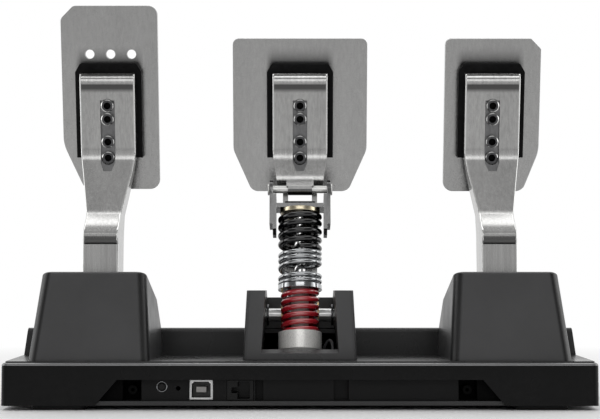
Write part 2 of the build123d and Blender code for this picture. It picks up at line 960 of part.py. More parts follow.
# Small board that amplifies the load cell's signal
amplifier_bottom = plate_top + amplifier_post
with BuildPart() as amplifier_board:
    with BuildSketch(Plane.XY.offset(amplifier_bottom)):
        with at_places([(amplifier_across, amplifier_ahead)]):
            Rectangle(amplifier_width, amplifier_depth)
    extrude(amount=board_thickness)
    with BuildSketch(Plane.XY.offset(amplifier_bottom + board_thickness)):
        with at_places([(amplifier_across + amplifier_width / 2 - switch_size / 2, wire_route[-1][1])]):
            Rectangle(switch_size, switch_size)
    extrude(amount=switch_size - board_thickness)
amplifier_board.part.label = "amplifier_board"
export_step(amplifier_board.part, "parts/amplifier_board.step")

with BuildPart() as board_posts:
    with BuildSketch(Plane.XY.offset(plate_top)):
        with at_places(board_post_places):
            Circle(board_post_radius)
    extrude(amount=board_bottom - plate_top)
    with BuildSketch(Plane.XY.offset(plate_top)):
        with at_places(amplifier_places):
            Circle(board_post_radius)
    extrude(amount=amplifier_post)
board_posts.part.label = "board_posts"
export_step(board_posts.part, "parts/board_posts.step")


def hood_form(sign, inset, drop):
    """Solid form of a hood, drawn in from its outer faces and lowered by drop."""
    centre = sign * pedal_spread
    levels = (
        (deck_top, hood_rear_foot, hood_inner_foot, hood_outer_foot),
        (hood_top, hood_rear_top, hood_inner_top, hood_outer_top),
    )
    with BuildPart() as form:
        for height, rear, inner, outer in levels:
            with BuildSketch(Plane.XY.offset(height)) as ring:
                corners = plan(
                    (
                        (centre + sign * inner, rear),
                        (centre + sign * outer, rear),
                        (centre + sign * outer, ridge_ahead),
                        (centre + sign * inner, ridge_ahead),
                    )
                )
                Polygon(*corners)
                round_corner(ring, corners[0], hood_radius)
                round_corner(ring, corners[1], hood_radius)
                if inset:
                    offset(amount=-inset, kind=Kind.INTERSECTION, mode=Mode.REPLACE)
        loft(ruled=True)
        profile = [
            (0, deck_top),
            (0, hood_top - drop),
            (hood_rear_top, hood_top - drop),
            (hood_break_ahead, hood_break_height - drop),
            (ridge_ahead, ridge_top - drop),
            (ridge_ahead, deck_top),
        ]
        add(across_body(profile), mode=Mode.INTERSECT)
    return form.part


def make_hood(sign):
    """Hollow hood with the slot that its pedal arm swings in."""
    centre = sign * pedal_spread
    with BuildPart() as hood:
        add(hood_form(sign, 0, 0))
        top_edges = hood.edges().filter_by_position(Axis.Z, hood_break_height, hood_top + overrun)
        rear_edges = top_edges.group_by(Axis.Y)[-1]
        fillet(rear_edges, radius=hood_rim_radius)
        add(hood_form(sign, hood_wall, hood_wall), mode=Mode.SUBTRACT)
        with BuildSketch(Plane.XY.offset(ridge_top)):
            with at_places([(centre, (hood_slot_rear + hood_slot_front) / 2)]):
                RectangleRounded(2 * hood_slot_half, hood_slot_front - hood_slot_rear, hood_slot_radius)
        extrude(amount=hood_top, mode=Mode.SUBTRACT)
    return hood.part


throttle_hood = make_hood(1)
throttle_hood.label = "throttle_hood"
export_step(throttle_hood, "parts/throttle_hood.step")

clutch_hood = make_hood(-1)
clutch_hood.label = "clutch_hood"
export_step(clutch_hood, "parts/clutch_hood.step")

# Brake housing: two uprights, a front wall and a low bar behind the strut
housing_profile = [
    (housing_rear, deck_top),
    (housing_rear, housing_top),
    (housing_top_break, housing_top),
    (housing_front_top_ahead, housing_front_top),
    (housing_front, footrest_at(housing_front)),
    crest,
    (ridge_ahead, deck_top),
]


def housing_loft(foot, top, low, high, rear, front):
    """Tapered block of the housing between two heights."""
    with BuildPart() as block:
        for height, half in ((low, foot), (high, top)):
            with BuildSketch(Plane.XY.offset(height)):
                Polygon(*plan(((-half, rear), (half, rear), (half, front), (-half, front))))
        loft(ruled=True)
    return block.part


bar_profile = [
    (0, housing_bar_top),
    (housing_rear, housing_bar_top),
    (housing_rear + housing_bar_depth, housing_bar_back),
    (housing_rear + housing_bar_depth, 0),
    (housing_front - housing_front_wall, 0),
    (housing_front_top_ahead - housing_front_wall, housing_top + overrun),
    (0, housing_top + overrun),
]
with BuildPart() as housing_well:
    add(
        housing_loft(
            housing_opening_foot,
            housing_opening_top,
            deck_top,
            housing_top,
            0,
            housing_front,
        )
    )
    add(across_body(bar_profile), mode=Mode.INTERSECT)
with BuildPart() as brake_housing:
    add(
        housing_loft(
            housing_foot_half,
            housing_top_half,
            deck_top,
            housing_top,
            housing_rear,
            housing_front,
        )
    )
    corner_edges = brake_housing.edges().filter_by(lambda edge: abs(edge.tangent_at(0).Z) > footrest_slope)
    fillet(corner_edges.group_by(Axis.Y)[-1], radius=housing_radius)
    add(across_body(housing_profile), mode=Mode.INTERSECT)
    add(housing_well.part, mode=Mode.SUBTRACT)
    for sign in (-1, 1):
        with BuildSketch():
            pocket = plan(
                (
                    (sign * housing_pocket_inner, housing_pocket_rear),
                    (sign * housing_pocket_outer, housing_pocket_rear),
                    (sign * housing_pocket_outer, housing_pocket_front),
                    (sign * housing_pocket_inner, housing_pocket_front),
                )
            )
            Polygon(*pocket)
        extrude(amount=housing_pocket_top, mode=Mode.SUBTRACT)
    with BuildSketch(side_plane(-housing_pocket_outer)):
        with Locations(side([(brake_pivot_ahead, brake_pivot_height)])[0]):
            Circle(shaft_radius + shaft_hole_play)
    extrude(amount=2 * housing_pocket_outer, mode=Mode.SUBTRACT)
brake_housing.part.label = "brake_housing"
export_step(brake_housing.part, "parts/brake_housing.step")


def side_solid(points, centre, half, circles=()):
    """Solid of a side-view outline and discs, as wide as half to each side of a centre."""
    with BuildPart() as solid:
        with BuildSketch(side_plane(centre - half)):
            Polygon(*side(points))
            for place, radius in circles:
                with Locations(side([place])[0]):
                    Circle(radius)
        extrude(amount=2 * half)
    return solid.part


def front_solid(half_widths, centre, top_radius=0):
    """Solid of a symmetric front-view outline, running through the whole depth."""
    right = [(centre + half, height) for half, height in half_widths]
    left = [(centre - half, height) for half, height in reversed(half_widths)]
    with BuildPart() as solid:
        with BuildSketch(rear_plane(0)) as outline:
            Polygon(*right, *left)
            if top_radius:
                for corner in (right[-1], left[0]):
                    round_corner(outline, corner, top_radius)
        extrude(amount=base_depth)
    return solid.part


def arm_groove(rear_line, centre):
    """Cutter of the shallow groove that holds the head screws, following the arm's rear."""
    sunk = [(ahead + groove_depth, height) for ahead, height in reversed(rear_line)]
    first, last = rear_line[0], rear_line[-1]
    band = side_solid([(0, first[1]), (0, last[1]), last] + sunk + [first], centre, arm_head_half)
    with BuildPart() as cutter:
        with BuildSketch(rear_plane(0)):
            Polygon(
                (centre - groove_tip_width / 2, groove_bottom),
                (centre + groove_tip_width / 2, groove_bottom),
                (centre + groove_width / 2, groove_shoulder),
                (centre + groove_width / 2, groove_top),
                (centre - groove_width / 2, groove_top),
                (centre - groove_width / 2, groove_shoulder),
            )
        extrude(amount=base_depth)
        add(band, mode=Mode.INTERSECT)
    return cutter.part


head_top_rear = head_point(arm_head_up, 0)
head_top_front = head_point(arm_head_up, arm_head_depth)
head_low_front = head_point(block_bottom, arm_head_depth)
neck_point = (neck_rear, arm_neck_height)
head_foot = (head_foot_ahead, head_foot_height)
side_arm_profile = [
    (lever_rear, lever_bottom),
    (lever_rear, lever_bottom + lever_thickness),
    (leg_rear, lever_bottom + lever_thickness),
    (leg_rear, band_bottom),
    (band_rear, band_top),
    (knee_rear, arm_knee_height),
    neck_point,
    head_foot,
    head_top_rear,
    head_top_front,
    head_low_front,
    (thigh_front, thigh_front_height),
    (calf_front, calf_front_height),
    (leg_front, leg_front_top),
    (leg_front, pivot_height),
    (leg_rear, lever_bottom),
]
hollow_top = head_point(block_pad_top, arm_wall * math.cos(lean))
side_arm_hollow = [
    (leg_rear + arm_wall, 0),
    (leg_rear + arm_wall, band_bottom),
    (band_rear + arm_wall, band_top),
    (knee_rear + arm_wall, arm_knee_height),
    (neck_rear + arm_wall, arm_neck_height),
    (head_foot_ahead + arm_wall, head_foot_height),
    hollow_top,
    head_point(block_pad_top, base_depth / 2),
    (base_depth, 0),
]
side_arm_widths = [
    (arm_leg_half, 0),
    (arm_leg_half, arm_knee_height),
    (arm_neck_half, arm_neck_height),
    (arm_head_half, head_foot_height),
    (arm_head_half, head_top_front[1] + overrun),
]
arm_inner_widths = [(half - arm_wall, height) for half, height in side_arm_widths]
groove_line = [
    (neck_rear - groove_depth / 2, arm_neck_height - groove_depth),
    neck_point,
    head_foot,
    head_point((groove_top + overrun - head_foot_height) / math.cos(lean), 0),
]
pivot_place = (pivot_ahead, pivot_height)
magnet_place = (pivot_ahead - magnet_rear, pivot_height - magnet_drop)


def screw_holes(centre, depth, length, radius):
    """Cylinders at the four head screws, from a depth behind the arm's rear face."""
    with BuildPart() as holes:
        with BuildSketch(head_plane(centre, depth)):
            with Locations(*[(0, up) for up in arm_screw_ups]):
                Circle(radius)
        extrude(amount=length)
    return holes.part


def screw_seats(centre):
    """Cutter of the screw holes and of the flat seats under the screw heads."""
    seat_height = 2 * arm_screw_head_height
    seat_radius = arm_screw_head_radius + spot_play
    with BuildPart() as seats:
        add(screw_holes(centre, 0, arm_head_depth, screw_radius + screw_play))
        add(screw_holes(centre, groove_depth - seat_height, seat_height, seat_radius))
    return seats.part


def rounded_head(centre):
    """Cutter that rounds the arm's top edge towards the head block."""
    ahead, height = head_point(arm_head_up - arm_top_radius, arm_top_radius)
    corner = head_point(arm_head_up + overrun, -overrun)
    low = head_point(arm_head_up - arm_top_radius, -overrun)
    high = head_point(arm_head_up + overrun, arm_top_radius)
    with BuildPart() as cutter:
        with BuildSketch(side_plane(centre - arm_head_half - overrun)):
            Polygon(*side([(ahead, height), low, corner, high]))
            with Locations(side([(ahead, height)])[0]):
                Circle(arm_top_radius, mode=Mode.SUBTRACT)
        extrude(amount=2 * (arm_head_half + overrun))
    return cutter.part


def make_side_arm(sign):
    """Channel-section arm of the throttle or the clutch, with its spring lever."""
    centre = sign * pedal_spread
    with BuildPart() as arm:
        hub = ((pivot_place, pivot_hub_radius),)
        add(side_solid(side_arm_profile, centre, arm_head_half, hub))
        add(front_solid(side_arm_widths, centre, arm_top_radius), mode=Mode.INTERSECT)
        add(rounded_head(centre), mode=Mode.SUBTRACT)
        hollow_form = side_solid(side_arm_hollow, centre, arm_head_half)
        hollow_form = hollow_form & front_solid(arm_inner_widths, centre)
        add(hollow_form, mode=Mode.SUBTRACT)
        add(arm_groove(groove_line, centre), mode=Mode.SUBTRACT)
        add(screw_seats(centre), mode=Mode.SUBTRACT)
        with BuildSketch(side_plane(centre - arm_leg_half)):
            with Locations(side([pivot_place])[0]):
                Circle(bush_radius)
        extrude(amount=2 * arm_leg_half, mode=Mode.SUBTRACT)
        with BuildSketch(side_plane(centre + sign * (arm_leg_half - magnet_depth))):
            with Locations(side([magnet_place])[0]):
                Circle(magnet_radius)
        extrude(amount=sign * magnet_depth, mode=Mode.SUBTRACT)
    return arm.part


def make_bushes(centre, inner, outer, place):
    """Two flanged bushes pressed into an arm's cheeks from outside."""
    with BuildPart() as bushes:
        for sign in (-1, 1):
            with BuildSketch(side_plane(centre + sign * inner)):
                with Locations(side([place])[0]):
                    Circle(bush_radius)
            extrude(amount=sign * (outer - inner))
            with BuildSketch(side_plane(centre + sign * outer)):
                with Locations(side([place])[0]):
                    Circle(bush_flange_radius)
            extrude(amount=sign * bush_flange)
        with BuildSketch(side_plane(centre - outer - bush_flange)):
            with Locations(side([place])[0]):
                Circle(shaft_radius + bush_play)
        extrude(amount=2 * (outer + bush_flange), mode=Mode.SUBTRACT)
    return bushes.part


def make_arm_screws(centre):
    """Four socket-head screws through the arm into the head block."""
    with BuildPart() as screws:
        add(screw_holes(centre, groove_depth, arm_screw_reach - groove_depth, screw_radius))
        top = groove_depth - arm_screw_head_height
        add(screw_holes(centre, top, arm_screw_head_height, arm_screw_head_radius))
        with BuildSketch(head_plane(centre, top)):
            with Locations(*[(0, up) for up in arm_screw_ups]):
                RegularPolygon(arm_screw_socket, 6)
        extrude(amount=arm_screw_socket_depth, mode=Mode.SUBTRACT)
    return screws.part


def make_head_block(centre):
    """Moulded block between arm and plate, its pad nested in the arm's channel."""
    half = block_half
    with BuildPart() as block:
        with BuildSketch(head_plane(centre, arm_head_depth)):
            Polygon(
                (-half, block_bottom),
                (half, block_bottom),
                (half, block_top - block_chamfer_up),
                (half - block_chamfer_across, block_top),
                (-half + block_chamfer_across, block_top),
                (-half, block_top - block_chamfer_up),
            )
        extrude(amount=block_thickness)
        rear_face = block.faces().sort_by(Axis.Y)[-1]
        chamfer(rear_face.edges(), length=block_edge)
        pad_half = arm_head_half - arm_wall - block_pad_gap
        pad_low = head_low_front[1] + arm_head_depth
        pad_depth = arm_head_depth - arm_wall / math.cos(lean) - block_pad_gap
        with BuildSketch(head_plane(centre, arm_head_depth - pad_depth)):
            with Locations((0, (block_pad_top + pad_low - head_foot_height) / 2)):
                Rectangle(2 * pad_half, block_pad_top - pad_low + head_foot_height - block_pad_gap)
        extrude(amount=pad_depth + block_edge)
        reach = arm_screw_reach + screw_play
        add(screw_holes(centre, 0, reach, screw_radius + screw_play), mode=Mode.SUBTRACT)
        add(plate_screw_form(centre, screw_radius + screw_play, 0), mode=Mode.SUBTRACT)
    return block.part


def plate_screw_form(centre, radius, head):
    """Shanks of the plate's four countersunk screws, and their heads where head is their radius."""
    depth = arm_head_depth + block_thickness + sheet_thickness
    places = [
        (across * plate_screw_across, up)
        for across in (-1, 1)
        for up in (plate_screw_low, plate_screw_high)
    ]
    with BuildPart() as form:
        with BuildSketch(head_plane(centre, depth)):
            with Locations(*places):
                Circle(radius)
        extrude(amount=-sheet_thickness - block_thickness / 2)
        if head:
            for place in places:
                with BuildSketch(head_plane(centre, depth)):
                    with Locations(place):
                        Circle(head)
                with BuildSketch(head_plane(centre, depth - screw_head_height)):
                    with Locations(place):
                        Circle(radius)
                loft(ruled=True)
    return form.part


def make_plate_screws(centre):
    """Countersunk screws that hold the plate to its block."""
    with BuildPart() as screws:
        add(plate_screw_form(centre, screw_radius, plate_screw_head))
        depth = arm_head_depth + block_thickness + sheet_thickness
        with BuildSketch(head_plane(centre, depth)):
            with Locations((0, (plate_screw_low + plate_screw_high) / 2)):
                with GridLocations(2 * plate_screw_across, plate_screw_high - plate_screw_low, 2, 2):
                    RegularPolygon(screw_radius * 2 / 3, 6)
        extrude(amount=-screw_head_height / 2, mode=Mode.SUBTRACT)
    return screws.part


def make_plate(centre, corners, radii):
    """Sheet-metal pedal plate from its outline and corner radii."""
    depth = arm_head_depth + block_thickness
    with BuildPart() as plate:
        with BuildSketch(head_plane(centre, depth)) as outline:
            Polygon(*corners)
            for corner, radius in zip(corners, radii):
                if radius:
                    round_corner(outline, corner, radius)
        extrude(amount=sheet_thickness)
        hole_form = plate_screw_form(centre, screw_radius + screw_play, plate_screw_head + screw_play)
        add(hole_form, mode=Mode.SUBTRACT)
    return plate.part


top_round, low_round = plate_radius_top, plate_radius_bottom
throttle_corners = [
    (throttle_inner, throttle_bottom),
    (throttle_outer - throttle_outer_cut, throttle_bottom),
    (throttle_outer, throttle_bottom + throttle_outer_cut_up),
    (throttle_outer, throttle_top - throttle_outer_chamfer),
    (throttle_outer - throttle_outer_chamfer, throttle_top),
    (throttle_inner, throttle_top),
]
throttle_radii = (low_round, low_round, 4 * low_round, top_round, top_round, low_round)
clutch_corners = [
    (-clutch_inner, clutch_bottom),
    (-clutch_outer + clutch_cut, clutch_bottom),
    (-clutch_outer, clutch_bottom + clutch_cut_up),
    (-clutch_outer, clutch_top - clutch_chamfer),
    (-clutch_outer + clutch_chamfer, clutch_top),
    (-clutch_inner, clutch_top),
]
clutch_radii = (low_round, low_round, 4 * low_round, top_round / 2, top_round / 2, top_round)
brake_corners = [
    (-brake_plate_half + brake_plate_cut, brake_plate_bottom),
    (brake_plate_half - brake_plate_cut, brake_plate_bottom),
    (brake_plate_half, brake_plate_bottom + brake_plate_cut_up),
    (brake_plate_half, brake_plate_top),
    (-brake_plate_half, brake_plate_top),
    (-brake_plate_half, brake_plate_bottom + brake_plate_cut_up),
]
brake_radii = (low_round, low_round, 2 * low_round, top_round, top_round, 2 * low_round)

with BuildPart() as throttle_plate:
    add(make_plate(pedal_spread, throttle_corners, throttle_radii))
    with BuildSketch(head_plane(pedal_spread, arm_head_depth + block_thickness)):
        with Locations((toe_hole_middle, toe_hole_up)):
            with GridLocations(toe_hole_pitch, 0, 3, 1):
                Circle(toe_hole_radius)
    extrude(amount=sheet_thickness, mode=Mode.SUBTRACT)
throttle_plate.part.label = "throttle_plate"
export_step(throttle_plate.part, "parts/throttle_plate.step")

clutch_plate = make_plate(-pedal_spread, clutch_corners, clutch_radii)
clutch_plate.label = "clutch_plate"
export_step(clutch_plate, "parts/clutch_plate.step")

brake_plate = make_plate(0, brake_corners, brake_radii)
brake_plate.label = "brake_plate"
export_step(brake_plate, "parts/brake_plate.step")

pedals = {"throttle": pedal_spread, "brake": 0, "clutch": -pedal_spread}
for name, centre in pedals.items():
    block = make_head_block(centre)
    block.label = name + "_head_block"
    export_step(block, "parts/" + name + "_head_block.step")
    arm_screws = make_arm_screws(centre)
    arm_screws.label = name + "_arm_screws"
    export_step(arm_screws, "parts/" + name + "_arm_screws.step")
    plate_screws = make_plate_screws(centre)
    plate_screws.label = name + "_plate_screws"
    export_step(plate_screws, "parts/" + name + "_plate_screws.step")

# Brackets, shafts and sensors of the throttle and the clutch
cheek_inner = arm_leg_half + bush_flange + bracket_gap
cheek_outer = cheek_inner + bracket_wall
side_shaft_half = cheek_outer + clip_thickness + shaft_end / 2


def make_side_bracket(sign):
    """Folded steel bracket: a floor and two cheeks that hold the pivot shaft."""
    centre = sign * pedal_spread
    cheek_profile = [
        (cheek_rear, plate_top),
        (cheek_front, plate_top),
        (pivot_ahead + cheek_round, pivot_height),
        (pivot_ahead - cheek_round, pivot_height),
    ]
    crown = ((pivot_place, cheek_round),)
    with BuildPart() as bracket:
        floor_profile = [
            (bracket_rear, plate_top),
            (bracket_rear, bracket_top),
            (bracket_front, bracket_top),
            (bracket_front, plate_top),
        ]
        add(side_solid(floor_profile, centre, cheek_outer))
        for cheek_side in (-1, 1):
            middle = centre + cheek_side * (cheek_inner + bracket_wall / 2)
            add(side_solid(cheek_profile, middle, bracket_wall / 2, crown))
        with BuildSketch(side_plane(centre - cheek_outer)):
            with Locations(side([pivot_place])[0]):
                Circle(shaft_radius)
        extrude(amount=2 * cheek_outer, mode=Mode.SUBTRACT)
        with BuildSketch(side_plane(centre + sign * cheek_inner)):
            with Locations(side([magnet_place])[0]):
                Circle(sensor_window)
        extrude(amount=sign * bracket_wall, mode=Mode.SUBTRACT)
        with BuildSketch(Plane.XY.offset(plate_top)):
            with at_places(side_screw_places):
                Circle(screw_radius + screw_play)
        extrude(amount=bracket_wall, mode=Mode.SUBTRACT)
    return bracket.part


def make_shaft(centre, half, place):
    """Plain round pivot shaft."""
    with BuildPart() as shaft:
        with BuildSketch(side_plane(centre - half)):
            with Locations(side([place])[0]):
                Circle(shaft_radius)
        extrude(amount=2 * half)
    return shaft.part


def make_sensor_board(sign):
    """Position sensor board outside the bracket, its chip in the bracket's window."""
    centre = sign * pedal_spread
    with BuildPart() as board:
        with BuildSketch(side_plane(centre + sign * cheek_outer)):
            Polygon(
                *side(
                    (
                        (sensor_rear, sensor_bottom),
                        (sensor_front, sensor_bottom),
                        (sensor_front, sensor_top),
                        (sensor_rear, sensor_top),
                    )
                )
            )
        extrude(amount=sign * board_thickness)
        with BuildSketch(side_plane(centre + sign * (cheek_outer - bracket_wall / 2))):
            with Locations(side([magnet_place])[0]):
                Rectangle(sensor_chip, sensor_chip)
        extrude(amount=sign * bracket_wall / 2)
    return board.part


def make_magnet(sign):
    """Round magnet let into the arm's outer cheek."""
    centre = sign * pedal_spread
    with BuildPart() as magnet:
        with BuildSketch(side_plane(centre + sign * (arm_leg_half - magnet_depth))):
            with Locations(side([magnet_place])[0]):
                Circle(magnet_radius)
        extrude(amount=sign * (magnet_depth + magnet_proud))
    return magnet.part


def spring_height(turn, length, wire, turns, dead):
    """Height of a coil's centre line after some turns, closer at both dead ends."""
    dead_pitch = wire + spring_dead_gap
    live_turns = turns - 2 * dead
    live_pitch = (length - wire - 2 * dead * dead_pitch) / live_turns
    low = min(turn, dead) * dead_pitch
    live = min(max(turn - dead, 0), live_turns) * live_pitch
    high = max(turn - turns + dead, 0) * dead_pitch
    return wire / 2 + low + live + high


def make_spring(name, plane, radius, wire, length, turns, dead):
    """Compression spring standing on a plane, swept along two arcs for each quarter turn."""
    steps = 4
    step_angle = 2 * math.pi / steps

    def place(step):
        angle = step * step_angle
        height = spring_height(step / steps, length, wire, turns, dead)
        return Vector(radius * math.cos(angle), radius * math.sin(angle), height)

    def heading(step):
        angle = step * step_angle
        before = spring_height(max(step - 1, 0) / steps, length, wire, turns, dead)
        after = spring_height(min(step + 1, steps * turns) / steps, length, wire, turns, dead)
        count = min(step + 1, steps * turns) - max(step - 1, 0)
        climb = (after - before) / (count * step_angle)
        flat = Vector(-radius * math.sin(angle), radius * math.cos(angle), climb)
        return flat.normalized()

    joints = [place(0)]
    tangents = [heading(0)]
    for step in range(steps * turns):
        start, end = place(step), place(step + 1)
        leave, arrive = heading(step), heading(step + 1)
        chord = end - start
        bend = 2 * leave.dot(arrive) - 2
        along = chord.dot(leave + arrive)
        reach = (along - math.sqrt(along * along - bend * chord.dot(chord))) / bend
        first, second = start + leave * reach, end - arrive * reach
        joints.extend([(first + second) / 2, end])
        tangents.extend([(second - first).normalized(), arrive])
    with BuildPart() as spring:
        with BuildLine() as path:
            for index in range(len(joints) - 1):
                start = plane.from_local_coords(joints[index])
                end = plane.from_local_coords(joints[index + 1])
                heading_there = plane.from_local_coords(joints[index] + tangents[index]) - start
                TangentArc(start, end, tangent=heading_there)
        with BuildSketch(Plane(origin=path.line @ 0, z_dir=path.line % 0)):
            Circle(wire / 2)
        sweep()
    samples = [place(count / 8) for count in range(8 * steps * turns + 1)]
    gap = min(
        (samples[index] - samples[other]).length - wire
        for index in range(len(samples))
        for other in range(index + 6 * steps, len(samples))
    )
    print(name, "least gap between turns", round(gap, 2))
    spring.part.label = name
    return spring.part


for name, sign in (("throttle", 1), ("clutch", -1)):
    centre = sign * pedal_spread
    arm = make_side_arm(sign)
    arm.label = name + "_arm"
    export_step(arm, "parts/" + name + "_arm.step")
    bushes = make_bushes(centre, arm_leg_half - arm_wall, arm_leg_half, pivot_place)
    bushes.label = name + "_bushes"
    export_step(bushes, "parts/" + name + "_bushes.step")
    bracket = make_side_bracket(sign)
    bracket.label = name + "_bracket"
    export_step(bracket, "parts/" + name + "_bracket.step")
    magnet = make_magnet(sign)
    magnet.label = name + "_magnet"
    export_step(magnet, "parts/" + name + "_magnet.step")
    return_plane = Plane.XY.offset(bracket_top + spring_seat_gap)
    return_plane = return_plane.move(Pos(centre, y_at(return_spring_ahead), 0))
    return_length = lever_bottom - bracket_top - 2 * spring_seat_gap
    return_spring = make_spring(
        name + "_return_spring",
        return_plane,
        return_spring_radius - return_spring_wire / 2,
        return_spring_wire,
        return_length,
        return_spring_turns,
        return_spring_dead,
    )
    export_step(return_spring, "parts/" + name + "_return_spring.step")

with BuildPart() as sensor_boards:
    add(make_sensor_board(1))
    add(make_sensor_board(-1))
sensor_boards.part.label = "sensor_boards"
export_step(sensor_boards.part, "parts/sensor_boards.step")

# Brake: bracket, shafts of all three pedals and their clips
brake_pivot = (brake_pivot_ahead, brake_pivot_height)
brake_bracket_outer = brake_bracket_inner + bracket_wall
with BuildPart() as brake_bracket:
    floor_profile = [
        (brake_bracket_rear, plate_top),
        (brake_bracket_rear, bracket_top),
        (brake_bracket_front, bracket_top),
        (brake_bracket_front, plate_top),
    ]
    add(side_solid(floor_profile, 0, brake_bracket_outer))
    cheek_profile = [
        (brake_cheek_rear, plate_top),
        (brake_cheek_front, plate_top),
        (brake_pivot_ahead + brake_cheek_top_round, brake_pivot_height),
        (brake_pivot_ahead - brake_cheek_top_round, brake_pivot_height),
    ]
    crown = ((brake_pivot, brake_cheek_top_round),)
    for sign in (-1, 1):
        middle = sign * (brake_bracket_inner + bracket_wall / 2)
        add(side_solid(cheek_profile, middle, bracket_wall / 2, crown))
    with BuildSketch(Plane.XY.offset(plate_top)):
        window = plan(
            (
                (-brake_window_half, brake_bracket_rear),
                (brake_window_half, brake_bracket_rear),
                (brake_window_half, brake_window_front),
                (-brake_window_half, brake_window_front),
            )
        )
        Polygon(*window)
        with at_places(brake_screw_places):
            Circle(screw_radius + screw_play)
        with at_places(((0, cell_bolt_first), (0, cell_bolt_second))):
            Circle(cell_bolt_radius + screw_play)
    extrude(amount=bracket_wall, mode=Mode.SUBTRACT)
    with BuildSketch(side_plane(-brake_bracket_outer)):
        with Locations(side([brake_pivot])[0]):
            Circle(shaft_radius)
    extrude(amount=2 * brake_bracket_outer, mode=Mode.SUBTRACT)
brake_bracket.part.label = "brake_bracket"
export_step(brake_bracket.part, "parts/brake_bracket.step")

brake_shaft_half = brake_bracket_outer + brake_shaft_end
with BuildPart() as pivot_shafts:
    add(make_shaft(pedal_spread, side_shaft_half, pivot_place))
    add(make_shaft(-pedal_spread, side_shaft_half, pivot_place))
    add(make_shaft(0, brake_shaft_half, brake_pivot))
pivot_shafts.part.label = "pivot_shafts"
export_step(pivot_shafts.part, "parts/pivot_shafts.step")

housing_rise = (brake_pivot_height + brake_collar_radius - deck_top) / (housing_top - deck_top)
housing_bore_half = housing_opening_foot - (housing_opening_foot - housing_opening_top) * housing_rise
collar_inner = housing_bore_half - brake_collar_gap - brake_collar_thickness
ring_places = [
    (centre + sign * cheek_outer, sign * clip_thickness, clip_radius, pivot_place)
    for centre in (-pedal_spread, pedal_spread)
    for sign in (-1, 1)
]
ring_places = ring_places + [
    (sign * collar_inner, sign * brake_collar_thickness, brake_collar_radius, brake_pivot)
    for sign in (-1, 1)
]
with BuildPart() as shaft_clips:
    for across, thickness, radius, place in ring_places:
        with BuildSketch(side_plane(across)):
            with Locations(side([place])[0]):
                Circle(radius)
                Circle(shaft_radius, mode=Mode.SUBTRACT)
        extrude(amount=thickness)
shaft_clips.part.label = "shaft_clips"
export_step(shaft_clips.part, "parts/shaft_clips.step")

# Brake arm: head shell, two neck cheeks with a web, and the knuckle for the clevis pin
strut_pin_place = (strut_pin_ahead, strut_pin_height)
lip_end = (brake_lip_end_ahead, brake_lip_end_height)
lip_bend = (brake_lip_ahead, brake_lip_height)
flare_bend = (brake_flare_ahead, brake_flare_height)
brake_shell_profile = [
    lip_end,
    lip_bend,
    flare_bend,
    head_foot,
    head_top_rear,
    head_top_front,
    head_low_front,
    (brake_neck_front, brake_neck_top),
    (brake_neck_front, brake_waist_height),
    (brake_lip_ahead + arm_wall, brake_waist_height),
    (brake_lip_end_ahead + arm_wall, brake_lip_end_height),
]
brake_hollow = [
    (brake_lip_ahead + arm_wall, brake_lip_height),
    (brake_flare_ahead + arm_wall, brake_flare_height),
    (head_foot_ahead + arm_wall, head_foot_height),
    hollow_top,
    head_point(block_pad_top, base_depth / 2),
    (base_depth, brake_lip_height),
]
brake_widths = [
    (brake_waist_half, 0),
    (brake_waist_half, brake_waist_height),
    (arm_head_half, head_foot_height),
    (arm_head_half, head_top_front[1] + overrun),
]
brake_inner_widths = [(half - arm_wall, height) for half, height in brake_widths]
brake_groove_line = [
    lip_bend,
    flare_bend,
    head_foot,
    head_point((groove_top + overrun - head_foot_height) / math.cos(lean), 0),
]
neck_profile = [
    (brake_neck_rear, brake_neck_top),
    (brake_neck_front, brake_neck_top),
    (brake_neck_front_low, brake_neck_low_height),
    (brake_neck_low_rear, brake_neck_low_height),
]
neck_middle = (brake_cheek_inner + brake_cheek_outer) / 2
neck_half = (brake_cheek_outer - brake_cheek_inner) / 2
web_profile = [
    (brake_neck_front, brake_back_top),
    (brake_neck_front_low, brake_back_bottom),
    (brake_neck_front_low - brake_back_thickness, brake_back_bottom),
    (brake_neck_front - brake_back_thickness, brake_back_top),
]
notch_top = strut_pin_height + lip_notch_rise
notch_profile = [
    (0, 0),
    (0, notch_top),
    (brake_lip_ahead + arm_wall, notch_top),
    (brake_lip_ahead, brake_lip_end_height),
    (brake_lip_ahead, 0),
]
knuckle_profile = [
    (strut_pin_ahead - knuckle_radius, strut_pin_height),
    lip_end,
    lip_bend,
    (brake_lip_ahead + arm_wall, brake_lip_height),
    (strut_pin_ahead + knuckle_radius, strut_pin_height),
]
